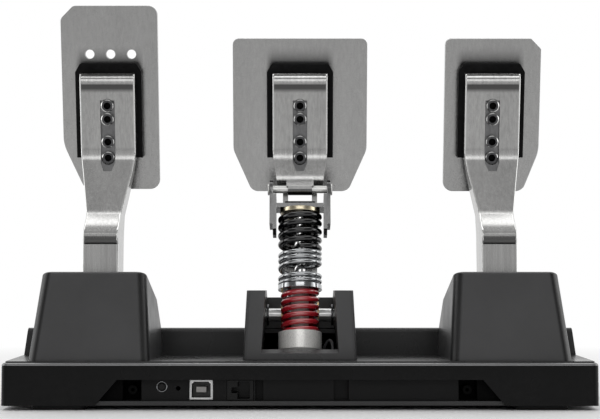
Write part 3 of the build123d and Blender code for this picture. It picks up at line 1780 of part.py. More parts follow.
with BuildPart() as brake_arm:
    add(side_solid(brake_shell_profile, 0, arm_head_half))
    add(front_solid(brake_widths, 0, arm_top_radius), mode=Mode.INTERSECT)
    add(rounded_head(0), mode=Mode.SUBTRACT)
    hollow_form = side_solid(brake_hollow, 0, arm_head_half)
    add(hollow_form & front_solid(brake_inner_widths, 0), mode=Mode.SUBTRACT)
    add(arm_groove(brake_groove_line, 0), mode=Mode.SUBTRACT)
    add(screw_seats(0), mode=Mode.SUBTRACT)
    with BuildSketch(side_plane(-arm_head_half)):
        with Locations(side([strut_pin_place])[0]):
            Circle(clevis_pin_radius + open_pivot_clearance)
    extrude(amount=2 * arm_head_half, mode=Mode.SUBTRACT)
    for sign in (-1, 1):
        notch_middle = sign * (lip_notch_inner + arm_head_half) / 2
        notch_half = (arm_head_half - lip_notch_inner) / 2
        add(side_solid(notch_profile, notch_middle, notch_half), mode=Mode.SUBTRACT)
    for sign in (-1, 1):
        hub = ((brake_pivot, brake_hub_radius),)
        add(side_solid(neck_profile, sign * neck_middle, neck_half, hub))
    add(side_solid(web_profile, 0, brake_cheek_inner))
    add(side_solid(knuckle_profile, 0, knuckle_half, ((strut_pin_place, knuckle_radius),)))
    with BuildSketch(side_plane(-knuckle_half)):
        with Locations(side([strut_pin_place])[0]):
            Circle(clevis_pin_radius)
    extrude(amount=2 * knuckle_half, mode=Mode.SUBTRACT)
    with BuildSketch(side_plane(-brake_cheek_outer)):
        with Locations(side([brake_pivot])[0]):
            Circle(bush_radius)
    extrude(amount=2 * brake_cheek_outer, mode=Mode.SUBTRACT)
brake_arm.part.label = "brake_arm"
export_step(brake_arm.part, "parts/brake_arm.step")

brake_bushes = make_bushes(0, brake_cheek_inner, brake_cheek_outer, brake_pivot)
brake_bushes.label = "brake_bushes"
export_step(brake_bushes, "parts/brake_bushes.step")

with BuildPart() as clevis_pin:
    with BuildSketch(side_plane(-clevis_pin_half)):
        with Locations(side([strut_pin_place])[0]):
            Circle(clevis_pin_radius)
    extrude(amount=2 * clevis_pin_half)
    for sign in (-1, 1):
        with BuildSketch(side_plane(sign * clevis_pin_half)):
            with Locations(side([strut_pin_place])[0]):
                Circle(clevis_pin_head_radius)
        extrude(amount=-sign * clevis_pin_head)
clevis_pin.part.label = "clevis_pin"
export_step(clevis_pin.part, "parts/clevis_pin.step")

# Brake strut, along the line from its foot pin to the clevis pin
strut_run = strut_pin_ahead - strut_foot_ahead
strut_rise = strut_pin_height - strut_foot_height
strut_tilt = math.atan2(strut_run, strut_rise)
strut_length = math.hypot(strut_run, strut_rise)
flange_low = strut_length - flange_drop
flange_high = flange_low + strut_flange_thickness
spring_room = flange_low - cup_floor
lower_collar_low = cup_floor + red_spring_share * spring_room
lower_collar_high = lower_collar_low + lower_collar_thickness
guide_top = lower_collar_high + guide_proud
spring_joint = flange_low - black_spring_share * spring_room
ear_low = strut_length - ear_drop
ear_doubler_low = strut_length - ear_doubler_drop
ear_shoulder = strut_length - ear_shoulder_drop


def strut_point(along, depth):
    """Side-view place at a distance along the strut and a depth towards the driver."""
    ahead = strut_foot_ahead + along * math.sin(strut_tilt) + depth * math.cos(strut_tilt)
    height = strut_foot_height + along * math.cos(strut_tilt) - depth * math.sin(strut_tilt)
    return ahead, height


def strut_plane(along):
    """Plane square to the strut, its z running up the strut."""
    ahead, height = strut_point(along, 0)
    origin = (0, y_at(ahead), height)
    return Plane(origin, x_dir=(1, 0, 0), z_dir=(0, -math.sin(strut_tilt), math.cos(strut_tilt)))


def strut_box(low, high, half, half_depth):
    """Block square to the strut between two distances along it."""
    with BuildPart() as block:
        with BuildSketch(strut_plane(low)):
            Rectangle(2 * half, 2 * half_depth)
        extrude(amount=high - low)
    return block.part


foot_place = (strut_foot_ahead, strut_foot_height)
with BuildPart() as strut_cup:
    with BuildSketch(strut_plane(cup_bottom)):
        Circle(cup_radius)
    extrude(amount=cup_top - cup_bottom)
    rim_edges = strut_cup.edges().filter_by(GeomType.CIRCLE).sort_by(Axis.Z)
    chamfer(rim_edges[0], length=cup_chamfer)
    with BuildSketch(strut_plane(cup_floor)):
        Circle(cup_inner_radius)
    extrude(amount=cup_top, mode=Mode.SUBTRACT)
    with BuildSketch(strut_plane(cup_bottom)):
        Circle(guide_radius)
    extrude(amount=guide_top - cup_bottom)
    with BuildSketch(strut_plane(cup_floor)):
        Circle(rod_radius + rod_play)
    extrude(amount=guide_top, mode=Mode.SUBTRACT)
    add(strut_box(0, cup_floor, lug_half, lug_radius))
    with BuildSketch(side_plane(-lug_half)):
        with Locations(side([foot_place])[0]):
            Circle(lug_radius)
    extrude(amount=2 * lug_half)
    with BuildSketch(side_plane(-lug_half)):
        with Locations(side([foot_place])[0]):
            Circle(foot_pin_radius + bush_play)
    extrude(amount=2 * lug_half, mode=Mode.SUBTRACT)
strut_cup.part.label = "strut_cup"
export_step(strut_cup.part, "parts/strut_cup.step")

with BuildPart() as lower_collar:
    with BuildSketch(strut_plane(lower_collar_low)):
        Circle(lower_collar_radius)
        Circle(guide_radius + collar_play, mode=Mode.SUBTRACT)
    extrude(amount=lower_collar_high - lower_collar_low)
lower_collar.part.label = "lower_collar"
export_step(lower_collar.part, "parts/lower_collar.step")

strut_springs = (
    (
        "red_spring",
        cup_floor,
        lower_collar_low,
        red_spring_radius,
        red_spring_wire,
        red_spring_pitch,
        red_spring_dead,
    ),
    (
        "silver_spring",
        lower_collar_high,
        spring_joint + spring_seat_gap,
        silver_spring_radius,
        silver_spring_wire,
        silver_spring_pitch,
        silver_spring_dead,
    ),
    (
        "black_spring",
        spring_joint,
        flange_low,
        black_spring_radius,
        black_spring_wire,
        black_spring_pitch,
        black_spring_dead,
    ),
)
for name, low, high, radius, wire, pitch, dead in strut_springs:
    coil_plane = strut_plane(low + spring_seat_gap)
    coil_length = high - low - 2 * spring_seat_gap
    turns = round(coil_length / pitch)
    dead = min(dead, (turns - 1) / 2)
    coil = make_spring(name, coil_plane, radius - wire / 2, wire, coil_length, turns, dead)
    export_step(coil, "parts/" + name + ".step")

with BuildPart() as plunger_rod:
    with BuildSketch(strut_plane(rod_bottom)):
        Circle(rod_radius)
    extrude(amount=flange_high - rod_bottom)
plunger_rod.part.label = "plunger_rod"
export_step(plunger_rod.part, "parts/plunger_rod.step")

with BuildPart() as strut_flange:
    with BuildSketch(strut_plane(flange_low)):
        Circle(strut_flange_radius)
        Circle(rod_radius, mode=Mode.SUBTRACT)
    extrude(amount=flange_high - flange_low)
strut_flange.part.label = "strut_flange"
export_step(strut_flange.part, "parts/strut_flange.step")

ear_middle = ear_inner + ear_wall
ear_outer = ear_middle + ear_doubler
ear_profile = [
    strut_point(ear_doubler_low, -ear_half_depth),
    strut_point(ear_shoulder, -ear_half_depth),
    strut_point(strut_length, -ear_top_radius),
    strut_point(strut_length, ear_top_radius),
    strut_point(ear_shoulder, ear_half_depth),
    strut_point(ear_doubler_low, ear_half_depth),
]
doubler_profile = [
    strut_point(ear_low, -ear_half_depth / 2),
    strut_point((ear_low + ear_doubler_low) / 2, -ear_half_depth),
    strut_point(ear_shoulder, -ear_half_depth),
    strut_point(ear_shoulder, ear_half_depth),
    strut_point((ear_low + ear_doubler_low) / 2, ear_half_depth),
    strut_point(ear_low, ear_half_depth / 2),
]
with BuildPart() as strut_clevis:
    add(strut_box(flange_high, flange_high + bridge_thickness, ear_inner, bridge_half_depth))
    for sign in (-1, 1):
        add(side_solid(doubler_profile, sign * (ear_inner + ear_middle) / 2, ear_wall / 2))
        ear_crown = ((strut_pin_place, ear_top_radius),)
        add(side_solid(ear_profile, sign * (ear_middle + ear_outer) / 2, ear_doubler / 2, ear_crown))
    with BuildSketch(side_plane(-ear_outer)):
        with Locations(side([strut_pin_place])[0]):
            Circle(clevis_pin_radius + open_pivot_clearance)
    extrude(amount=2 * ear_outer, mode=Mode.SUBTRACT)
strut_clevis.part.label = "strut_clevis"
export_step(strut_clevis.part, "parts/strut_clevis.step")

stop_low = flange_high + bridge_thickness
with BuildPart() as bump_stop:
    add(strut_box(stop_low, stop_low + stop_thickness, stop_half, stop_half_depth))
    uprights = bump_stop.edges().filter_by(lambda edge: abs(edge.tangent_at(0).Z) > abs(edge.tangent_at(0).Y))
    fillet(uprights.filter_by(lambda edge: abs(edge.tangent_at(0).X) < 0.5), radius=stop_thickness)
bump_stop.part.label = "bump_stop"
export_step(bump_stop.part, "parts/bump_stop.step")

# Load cell beam under the strut, its yoke, bolts and wire
cell_top = bracket_top + cell_height
yoke_top = cell_top + yoke_base
yoke_inner = lug_half + yoke_gap
yoke_outer = yoke_inner + yoke_wall
yoke_bolt_places = [(0, strut_foot_ahead + sign * yoke_screw) for sign in (-1, 1)]
cell_bolt_places = [(0, cell_bolt_first), (0, cell_bolt_second)]
cell_profile = [
    (cell_rear, bracket_top),
    (cell_rear, cell_top),
    (cell_front, cell_top),
    (cell_front, bracket_top),
]
with BuildPart() as load_cell:
    add(side_solid(cell_profile, 0, cell_half_width))
    with BuildSketch(side_plane(-cell_half_width)):
        with Locations((y_at(cell_hole_ahead), (bracket_top + cell_top) / 2)):
            with GridLocations(cell_hole_pitch, 0, 2, 1):
                Circle(cell_hole_radius)
            Rectangle(cell_hole_pitch, cell_slot)
    extrude(amount=2 * cell_half_width, mode=Mode.SUBTRACT)
    with BuildSketch(Plane.XY.offset(bracket_top)):
        with at_places(cell_bolt_places + yoke_bolt_places):
            Circle(cell_bolt_radius + screw_play)
    extrude(amount=cell_height, mode=Mode.SUBTRACT)
load_cell.part.label = "load_cell"
export_step(load_cell.part, "parts/load_cell.step")

bolt_groups = (
    (cell_bolt_places, cell_top, cell_height + bracket_wall),
    (yoke_bolt_places, yoke_top, cell_bolt_depth + yoke_base),
)
with BuildPart() as load_cell_bolts:
    for places, seat, length in bolt_groups:
        with BuildSketch(Plane.XY.offset(seat - length)):
            with at_places(places):
                Circle(cell_bolt_radius)
        extrude(amount=length)
        with BuildSketch(Plane.XY.offset(seat)):
            with at_places(places):
                Circle(cell_bolt_head_radius)
        extrude(amount=cell_bolt_head_height)
        with BuildSketch(Plane.XY.offset(seat + cell_bolt_head_height / 2)):
            with at_places(places):
                RegularPolygon(arm_screw_socket, 6)
        extrude(amount=cell_bolt_head_height / 2, mode=Mode.SUBTRACT)
load_cell_bolts.part.label = "load_cell_bolts"
export_step(load_cell_bolts.part, "parts/load_cell_bolts.step")

yoke_profile = [
    (strut_foot_ahead - yoke_half_length, cell_top),
    (strut_foot_ahead - yoke_half_length, yoke_top),
    (strut_foot_ahead + yoke_half_length, yoke_top),
    (strut_foot_ahead + yoke_half_length, cell_top),
]
yoke_ear_profile = [
    (strut_foot_ahead - yoke_ear_foot, yoke_top),
    (strut_foot_ahead - yoke_ear_radius, strut_foot_height),
    (strut_foot_ahead + yoke_ear_radius, strut_foot_height),
    (strut_foot_ahead + yoke_ear_foot, yoke_top),
]
with BuildPart() as foot_yoke:
    add(side_solid(yoke_profile, 0, yoke_outer))
    for sign in (-1, 1):
        middle = sign * (yoke_inner + yoke_outer) / 2
        add(side_solid(yoke_ear_profile, middle, yoke_wall / 2, ((foot_place, yoke_ear_radius),)))
    with BuildSketch(side_plane(-yoke_outer)):
        with Locations(side([foot_place])[0]):
            Circle(foot_pin_radius)
    extrude(amount=2 * yoke_outer, mode=Mode.SUBTRACT)
    with BuildSketch(Plane.XY.offset(cell_top)):
        with at_places(yoke_bolt_places):
            Circle(cell_bolt_radius + screw_play)
    extrude(amount=yoke_base, mode=Mode.SUBTRACT)
foot_yoke.part.label = "foot_yoke"
export_step(foot_yoke.part, "parts/foot_yoke.step")

foot_pin_half = yoke_outer + foot_pin_end
with BuildPart() as foot_pin:
    with BuildSketch(side_plane(-foot_pin_half)):
        with Locations(side([foot_place])[0]):
            Circle(foot_pin_radius)
    extrude(amount=2 * foot_pin_half)
foot_pin.part.label = "foot_pin"
export_step(foot_pin.part, "parts/foot_pin.step")

wire_points = [Vector(across, y_at(ahead), height) for across, ahead, height in wire_route]
wire_radii = []
for before, corner, after in zip(wire_points, wire_points[1:], wire_points[2:]):
    shorter = min((corner - before).length, (after - corner).length)
    turn = math.radians((corner - before).get_angle(after - corner))
    wire_radii.append(wire_radii_share * shorter / math.tan(turn / 2))
print("load cell wire bend radii", [round(radius, 2) for radius in wire_radii])
with BuildPart() as load_cell_wire:
    with BuildLine() as wire_path:
        FilletPolyline(*wire_points, radius=wire_radii)
    with BuildSketch(Plane(origin=wire_path.line @ 0, z_dir=wire_path.line % 0)):
        Circle(wire_radius)
    sweep()
load_cell_wire.part.label = "load_cell_wire"
export_step(load_cell_wire.part, "parts/load_cell_wire.step")
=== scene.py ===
import json
import math

import bpy
from mathutils import Matrix, Vector

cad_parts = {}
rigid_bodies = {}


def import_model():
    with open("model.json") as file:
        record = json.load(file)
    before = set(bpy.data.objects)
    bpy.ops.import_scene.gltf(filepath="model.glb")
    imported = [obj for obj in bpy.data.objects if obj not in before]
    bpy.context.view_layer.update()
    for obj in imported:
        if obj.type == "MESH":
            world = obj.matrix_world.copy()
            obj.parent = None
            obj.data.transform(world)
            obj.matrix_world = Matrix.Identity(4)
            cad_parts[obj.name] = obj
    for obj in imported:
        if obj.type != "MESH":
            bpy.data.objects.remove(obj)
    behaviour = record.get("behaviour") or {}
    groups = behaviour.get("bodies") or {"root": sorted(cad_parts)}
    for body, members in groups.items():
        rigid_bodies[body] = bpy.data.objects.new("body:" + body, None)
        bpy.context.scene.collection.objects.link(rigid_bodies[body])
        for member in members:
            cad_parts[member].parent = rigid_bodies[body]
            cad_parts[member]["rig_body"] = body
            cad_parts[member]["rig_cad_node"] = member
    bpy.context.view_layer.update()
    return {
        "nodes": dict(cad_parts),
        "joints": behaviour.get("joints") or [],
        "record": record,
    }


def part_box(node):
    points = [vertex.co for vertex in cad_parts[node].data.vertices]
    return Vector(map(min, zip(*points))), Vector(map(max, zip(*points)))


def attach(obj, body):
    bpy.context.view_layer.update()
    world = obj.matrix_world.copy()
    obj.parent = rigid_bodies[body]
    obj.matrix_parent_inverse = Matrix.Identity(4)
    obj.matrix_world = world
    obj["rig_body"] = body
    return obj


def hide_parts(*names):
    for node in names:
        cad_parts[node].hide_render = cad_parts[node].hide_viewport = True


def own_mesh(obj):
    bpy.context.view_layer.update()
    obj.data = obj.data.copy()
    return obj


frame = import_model()

bl_info = {
    "name": "Three-pedal set",
    "version": (1, 0, 0),
    "blender": (4, 5, 0),
    "location": "View3D > Sidebar > Pedals",
    "description": "Finishes the pieces of a three-pedal set around its packed model",
    "category": "Object",
}

JOINTS = {joint["name"]: joint for joint in frame["joints"]}
BODY_OF = {node: body for body, nodes in frame["record"]["behaviour"]["bodies"].items() for node in nodes}
SLOT_OF = {part["node"]: part["material_slot"] for part in frame["record"]["subparts"]}
MM = 0.001
PEDALS = {"throttle": 0.117, "brake": 0.0, "clutch": -0.117}
LEAN = math.radians(12.5)
HEAD_FOOT = Vector((0, 0.135 - 0.066, 0.150))
HEAD_UP = Vector((0, math.sin(LEAN), math.cos(LEAN)))
HEAD_IN = Vector((0, -math.cos(LEAN), math.sin(LEAN)))
GROOVE_HALF = 5.4 * MM
GROOVE_LOW = 138.5 * MM
LIP_LOW = 22.0 * MM
ARM_LINE = tuple(tuple(value * MM for value in row) for row in (
    (150.0, 69.0, 16.7), (138.0, 73.0, 14.9), (112.0, 88.0, 10.3), (100.6, 103.2, 10.3), (94.0, 100.4, 10.3)))
BENDS = ((4.5 * MM, 150.0 * MM), (4.0 * MM, 112.0 * MM), (5.0 * MM, 100.6 * MM))
ROLL_LOW, ROLL_HIGH, ROLL_DROP = 190.5 * MM, 197.8 * MM, 2.6 * MM
HALO_SIDE, HALO_LOW, HALO_TOP = 17.0 * MM, 206.0 * MM, 217.0 * MM
HALO_FOOT, HALO_FOOT_END = 176.0 * MM, 190.0 * MM
HALO_FADE = 4.0 * MM
HALO_SHARE = 0.15
KNEE_LOW, KNEE_HIGH = 93.5 * MM, 112.5 * MM
KNEE_CURL = (94.5 * MM, 112.0 * MM, math.radians(-22), math.radians(47))
# Painted shade bands: heights of the darker band low on the knee and under the arms' rolled tops, and the share of
# the colour that they keep.
KNEE_SHADE_BAND = (92.5 * MM, 94.5 * MM, 98.5 * MM, 102.0 * MM)
ROLL_SHADE_BAND = (186.5 * MM, 189.0 * MM, 191.2 * MM, 192.0 * MM)
SHADE_BAND_SHARE = 0.22
PATCH_SPREAD = 0.08
SETTLE_ANGLE = math.radians(35)
HEAD_SCREWS_MM = (-2.2, 7.6, 21.4, 29.6)
HEAD_SCREW_SINK_MM = 1.4
CLEVIS_REACH = 3.8 * MM
POCKET_INNER = 89.3 * MM
PIN_PLACE = Vector((0, (135.0 - 56.6) * MM, (150.0 - 22.2) * MM))
PANEL_FACE = (135.0 - 6.0) * MM
FRAME_DEPTH = 0.5 * MM
FRAME_PROUD = 0.6 * MM
FRAME_BORDER = 1.3 * MM
STRUT_FOOT = Vector(JOINTS["strut_swing"]["pos_m"])
STRUT_UP = -Vector(JOINTS["strut_stroke"]["axis"]).normalized()


# Shared node groups


def new_group(name, inputs, outputs):
    """Empty shader group with named float, vector or colour sockets."""
    group = bpy.data.node_groups.new(name, "ShaderNodeTree")
    for label, kind, value in inputs:
        socket = group.interface.new_socket(label, in_out="INPUT", socket_type="NodeSocket" + kind)
        if value is not None:
            socket.default_value = value
    for label, kind in outputs:
        group.interface.new_socket(label, in_out="OUTPUT", socket_type="NodeSocket" + kind)
    entry = group.nodes.new("NodeGroupInput")
    leave = group.nodes.new("NodeGroupOutput")
    return group, entry, leave


def add_noise(tree, vector, scale, detail, roughness=0.5):
    """Noise texture fed by a vector socket."""
    noise = tree.nodes.new("ShaderNodeTexNoise")
    noise.inputs["Detail"].default_value = detail
    noise.inputs["Roughness"].default_value = roughness
    if isinstance(scale, (int, float)):
        noise.inputs["Scale"].default_value = scale
    else:
        tree.links.new(scale, noise.inputs["Scale"])
    tree.links.new(vector, noise.inputs["Vector"])
    return noise.outputs["Fac"]


def add_math(tree, operation, first, second=None, clamp=False):
    """Math node of two sockets or numbers."""
    node = tree.nodes.new("ShaderNodeMath")
    node.operation = operation
    node.use_clamp = clamp
    for socket, value in zip(node.inputs, (first, second)):
        if value is None:
            continue
        if isinstance(value, (int, float)):
            socket.default_value = value
        else:
            tree.links.new(value, socket)
    return node.outputs[0]


def add_range(tree, value, low, high, to_low=0.0, to_high=1.0):
    """Map Range node with plain limits."""
    node = tree.nodes.new("ShaderNodeMapRange")
    for label, number in (("From Min", low), ("From Max", high), ("To Min", to_low), ("To Max", to_high)):
        if isinstance(number, (int, float)):
            node.inputs[label].default_value = number
        else:
            tree.links.new(number, node.inputs[label])
    tree.links.new(value, node.inputs["Value"])
    return node.outputs["Result"]


def add_mix(tree, factor, first, second):
    """Colour mix of two sockets or colours."""
    node = tree.nodes.new("ShaderNodeMix")
    node.data_type = "RGBA"
    tree.links.new(factor, node.inputs["Factor"])
    for socket, value in ((node.inputs[6], first), (node.inputs[7], second)):
        if isinstance(value, (tuple, list)):
            socket.default_value = (*value[:3], 1)
        else:
            tree.links.new(value, socket)
    return node.outputs[2]


def build_moulding_group():
    """Spark-eroded grain of a moulded plastic, with faint rubbed patches."""
    group, entry, leave = new_group(
        "Moulded grain",
        (("Vector", "Vector", None), ("Grain Scale", "Float", 1400.0), ("Grain Depth", "Float", 0.1)),
        (("Patch", "Float"), ("Speck", "Float"), ("Normal", "Vector")),
    )
    fine = add_noise(group, entry.outputs["Vector"], entry.outputs["Grain Scale"], 3.0, 0.6)
    patch = add_noise(group, entry.outputs["Vector"], 22.0, 4.0, 0.6)
    group.links.new(add_range(group, patch, 0.35, 0.68), leave.inputs["Patch"])
    group.links.new(add_range(group, fine, 0.35, 0.65), leave.inputs["Speck"])
    bump = group.nodes.new("ShaderNodeBump")
    bump.inputs["Distance"].default_value = 0.00012
    group.links.new(entry.outputs["Grain Depth"], bump.inputs["Strength"])
    group.links.new(fine, bump.inputs["Height"])
    group.links.new(bump.outputs["Normal"], leave.inputs["Normal"])
    return group


def build_brushing_group():
    """Straight brushing lines: fine scratches, wider streaks and slow cloudy tone."""
    group, entry, leave = new_group(
        "Brushing",
        (("Vector", "Vector", None), ("Depth", "Float", 0.2)),
        (("Scratch", "Float"), ("Streak", "Float"), ("Cloud", "Float"), ("Normal", "Vector")),
    )
    fine = add_noise(group, entry.outputs["Vector"], 5200.0, 2.0, 0.65)
    wide = add_noise(group, entry.outputs["Vector"], 700.0, 4.0, 0.7)
    cloud = add_noise(group, entry.outputs["Vector"], 60.0, 2.0, 0.5)
    group.links.new(add_range(group, fine, 0.3, 0.7), leave.inputs["Scratch"])
    group.links.new(add_range(group, wide, 0.3, 0.7), leave.inputs["Streak"])
    group.links.new(add_range(group, cloud, 0.3, 0.7), leave.inputs["Cloud"])
    height = add_math(group, "ADD", add_math(group, "MULTIPLY", fine, 0.5), wide)
    bump = group.nodes.new("ShaderNodeBump")
    bump.inputs["Distance"].default_value = 0.00012
    group.links.new(entry.outputs["Depth"], bump.inputs["Strength"])
    group.links.new(height, bump.inputs["Height"])
    group.links.new(bump.outputs["Normal"], leave.inputs["Normal"])
    return group


def build_wear_group():
    """Rubbed convex edges, broken up by noise."""
    group, entry, leave = new_group(
        "Edge wear",
        (("Vector", "Vector", None), ("Amount", "Float", 0.5)),
        (("Wear", "Float"),),
    )
    geometry = group.nodes.new("ShaderNodeNewGeometry")
    edge = add_range(group, geometry.outputs["Pointiness"], 0.52, 0.60)
    broken = add_range(group, add_noise(group, entry.outputs["Vector"], 260.0, 4.0, 0.6), 0.35, 0.6)
    worn = add_math(group, "MULTIPLY", edge, broken, clamp=True)
    group.links.new(add_math(group, "MULTIPLY", worn, entry.outputs["Amount"]), leave.inputs["Wear"])
    return group


GROUPS = {}
MATERIALS = {}


def start_material(name):
    """Material with its shader and an Object coordinate mapping."""
    material = bpy.data.materials.new(name)
    material.use_nodes = True
    tree = material.node_tree
    shader = tree.nodes["Principled BSDF"]
    place = tree.nodes.new("ShaderNodeTexCoord")
    mapping = tree.nodes.new("ShaderNodeMapping")
    tree.links.new(place.outputs["Object"], mapping.inputs["Vector"])
    MATERIALS[name] = material
    return material, tree, shader, mapping


def place_group(tree, key, vector, **values):
    """Node of a shared group, fed by the mapping, with its own values."""
    node = tree.nodes.new("ShaderNodeGroup")
    node.node_tree = GROUPS[key]
    tree.links.new(vector, node.inputs["Vector"])
    for label, value in values.items():
        node.inputs[label.replace("_", " ")].default_value = value
    return node


def moulded(name, colour, roughness, grain_scale=1500.0, grain_depth=0.25, wear=0.0, lift=1.6, specular=0.5,
            corner=1.0):
    """Moulded plastic or rubber with grain, slightly lighter rubbed patches and edges, and painted shade on faces
    turned partly sideways when corner is below 1.
    """
    material, tree, shader, mapping = start_material(name)
    vector = mapping.outputs["Vector"]
    grain = place_group(tree, "moulding", vector, Grain_Scale=grain_scale, Grain_Depth=grain_depth)
    lighter = tuple(min(1.0, channel * lift + 0.004) for channel in colour)
    tone = add_mix(tree, add_math(tree, "MULTIPLY", grain.outputs["Patch"], 0.45), colour, lighter)
    if wear:
        edge = place_group(tree, "wear", vector, Amount=wear)
        worn = tuple(min(1.0, channel * 2.2 + 0.03) for channel in colour)
        tone = add_mix(tree, edge.outputs["Wear"], tone, worn)
    # Painted shade: faces turned partly sideways, such as rounded side corners, get a darker share of the colour.
    if corner < 1:
        across = add_math(tree, "ABSOLUTE", facing(tree, "X"))
        turned = add_math(tree, "MULTIPLY", add_range(tree, across, 0.08, 0.3), add_range(tree, across, 0.97, 0.88))
        tone = add_mix(tree, turned, tone, tuple(channel * corner for channel in colour))
    tree.links.new(tone, shader.inputs["Base Color"])
    rough = add_range(tree, grain.outputs["Patch"], 0.0, 1.0, roughness - PATCH_SPREAD, roughness + PATCH_SPREAD)
    tree.links.new(rough, shader.inputs["Roughness"])
    tree.links.new(grain.outputs["Normal"], shader.inputs["Normal"])
    shader.inputs["Specular IOR Level"].default_value = specular
    return material


def metal(name, colour, roughness, along=(1, 1, 0.02), depth=0.15, contrast=0.25, spread=0.08, metallic=1.0,
          roll=None, curl=None, painted_shade_bands=()):
    """Bare metal with brushing along one direction and changing gloss, darkened by painted shade bands where given.
    """
    material, tree, shader, mapping = start_material(name)
    mapping.inputs["Scale"].default_value = along
    brushing = place_group(tree, "brushing", mapping.outputs["Vector"], Depth=depth)
    darker = tuple(channel * (1 - contrast) for channel in colour)
    lighter = tuple(min(1.0, channel * (1 + contrast / 2)) for channel in colour)
    mask = add_math(tree, "MULTIPLY", brushing.outputs["Streak"], 0.7)
    mask = add_math(tree, "ADD", mask, add_math(tree, "MULTIPLY", brushing.outputs["Cloud"], 0.3), clamp=True)
    tone = add_mix(tree, mask, darker, lighter)
    # Each band mixes the tone towards its share of the colour: painted shade.
    for find_mask, share in painted_shade_bands:
        tone = add_mix(tree, find_mask(tree), tone, tuple(channel * share for channel in colour))
    tree.links.new(tone, shader.inputs["Base Color"])
    rough = add_range(tree, brushing.outputs["Scratch"], 0.0, 1.0, roughness - spread, roughness + spread)
    tree.links.new(rough, shader.inputs["Roughness"])
    normal = brushing.outputs["Normal"]
    if roll:
        normal = rolled(tree, normal, *roll)
    if curl:
        normal = curled(tree, *curl)
    tree.links.new(normal, shader.inputs["Normal"])
    shader.inputs["Metallic"].default_value = metallic
    return material


def split_place(tree):
    """Separated Object coordinates."""
    place = tree.nodes.new("ShaderNodeTexCoord")
    split = tree.nodes.new("ShaderNodeSeparateXYZ")
    tree.links.new(place.outputs["Object"], split.inputs["Vector"])
    return split.outputs


def facing(tree, axis):
    """One component of the normal in the piece's own axes."""
    geometry = tree.nodes.new("ShaderNodeNewGeometry")
    turned = tree.nodes.new("ShaderNodeVectorTransform")
    turned.vector_type = "NORMAL"
    turned.convert_from, turned.convert_to = "WORLD", "OBJECT"
    tree.links.new(geometry.outputs["True Normal"], turned.inputs["Vector"])
    split = tree.nodes.new("ShaderNodeSeparateXYZ")
    tree.links.new(turned.outputs["Vector"], split.inputs["Vector"])
    return split.outputs[axis]


def level_band(tree, low, low_end, high, high_end):
    """Mask that rises and falls again between four heights."""
    height = split_place(tree)["Z"]
    rise = add_range(tree, height, low, low_end)
    return add_math(tree, "MULTIPLY", rise, add_range(tree, height, high_end, high))


def block_halo(tree):
    """Painted shadow round the head blocks, on the side of the plates that carries them."""
    across = add_math(tree, "ABSOLUTE", split_place(tree)["X"])
    beside = add_math(tree, "ABSOLUTE", add_math(tree, "SUBTRACT", across, PEDALS["throttle"]))
    near = add_range(tree, add_math(tree, "MINIMUM", across, beside), HALO_SIDE + HALO_FADE, HALO_SIDE)
    above = add_range(tree, split_place(tree)["Z"], HALO_TOP, HALO_LOW)
    below = add_range(tree, split_place(tree)["Z"], HALO_FOOT, HALO_FOOT_END)
    mask = add_math(tree, "MULTIPLY", add_math(tree, "MULTIPLY", near, below), add_math(tree, "POWER", above, 1.6))
    return add_math(tree, "MULTIPLY", mask, add_math(tree, "GREATER_THAN", facing(tree, "Y"), 0.5))


def curled(tree, low, high, low_tilt, high_tilt):
    """Normal of a softly turned S between two heights, tilted up by the two angles."""
    share = add_range(tree, split_place(tree)["Z"], low, high, 0.0, 1.0)
    eased = add_math(tree, "SUBTRACT", 1.0, add_math(tree, "POWER", add_math(tree, "SUBTRACT", 1.0, share), 2.2))
    angle = add_range(tree, eased, 0.0, 1.0, low_tilt, high_tilt)
    vector = tree.nodes.new("ShaderNodeCombineXYZ")
    tree.links.new(add_math(tree, "COSINE", angle), vector.inputs["Y"])
    tree.links.new(add_math(tree, "SINE", angle), vector.inputs["Z"])
    turned = tree.nodes.new("ShaderNodeVectorTransform")
    turned.vector_type = "NORMAL"
    turned.convert_from, turned.convert_to = "OBJECT", "WORLD"
    tree.links.new(vector.outputs["Vector"], turned.inputs["Vector"])
    return turned.outputs["Vector"]


def rolled(tree, normal, low, high, drop):
    """Normal that turns over between two heights, as on a rolled end."""
    share = add_range(tree, split_place(tree)["Z"], low, high)
    bump = tree.nodes.new("ShaderNodeBump")
    bump.inputs["Distance"].default_value = 1.0
    tree.links.new(add_math(tree, "MULTIPLY", add_math(tree, "POWER", share, 2.0), -drop), bump.inputs["Height"])
    tree.links.new(normal, bump.inputs["Normal"])
    return bump.outputs["Normal"]


def painted(name, colour, roughness, coat=0.6, peel=0.12, dust=0.25, metallic=0.0, gloss=1.5):
    """Gloss powder coat with orange peel, fine dust and small chips of tone."""
    material, tree, shader, mapping = start_material(name)
    vector = mapping.outputs["Vector"]
    grain = place_group(tree, "moulding", vector, Grain_Scale=420.0, Grain_Depth=peel)
    dusty = tuple(channel * 0.55 + 0.18 * dust for channel in colour)
    mask = add_math(tree, "MULTIPLY", grain.outputs["Patch"], dust)
    tree.links.new(add_mix(tree, mask, colour, dusty), shader.inputs["Base Color"])
    rough = add_range(tree, grain.outputs["Patch"], 0.0, 1.0, roughness * 0.7, roughness * 1.3)
    tree.links.new(rough, shader.inputs["Roughness"])
    tree.links.new(grain.outputs["Normal"], shader.inputs["Normal"])
    shader.inputs["Metallic"].default_value = metallic
    shader.inputs["Coat Weight"].default_value = coat
    shader.inputs["Coat Roughness"].default_value = 0.06
    shader.inputs["Coat IOR"].default_value = gloss
    return material


# Modelling helpers


def edit_mode():
    """Enters edit mode."""
    bpy.ops.object.mode_set(mode="EDIT")


def object_mode():
    """Returns to object mode."""
    bpy.ops.object.mode_set(mode="OBJECT")


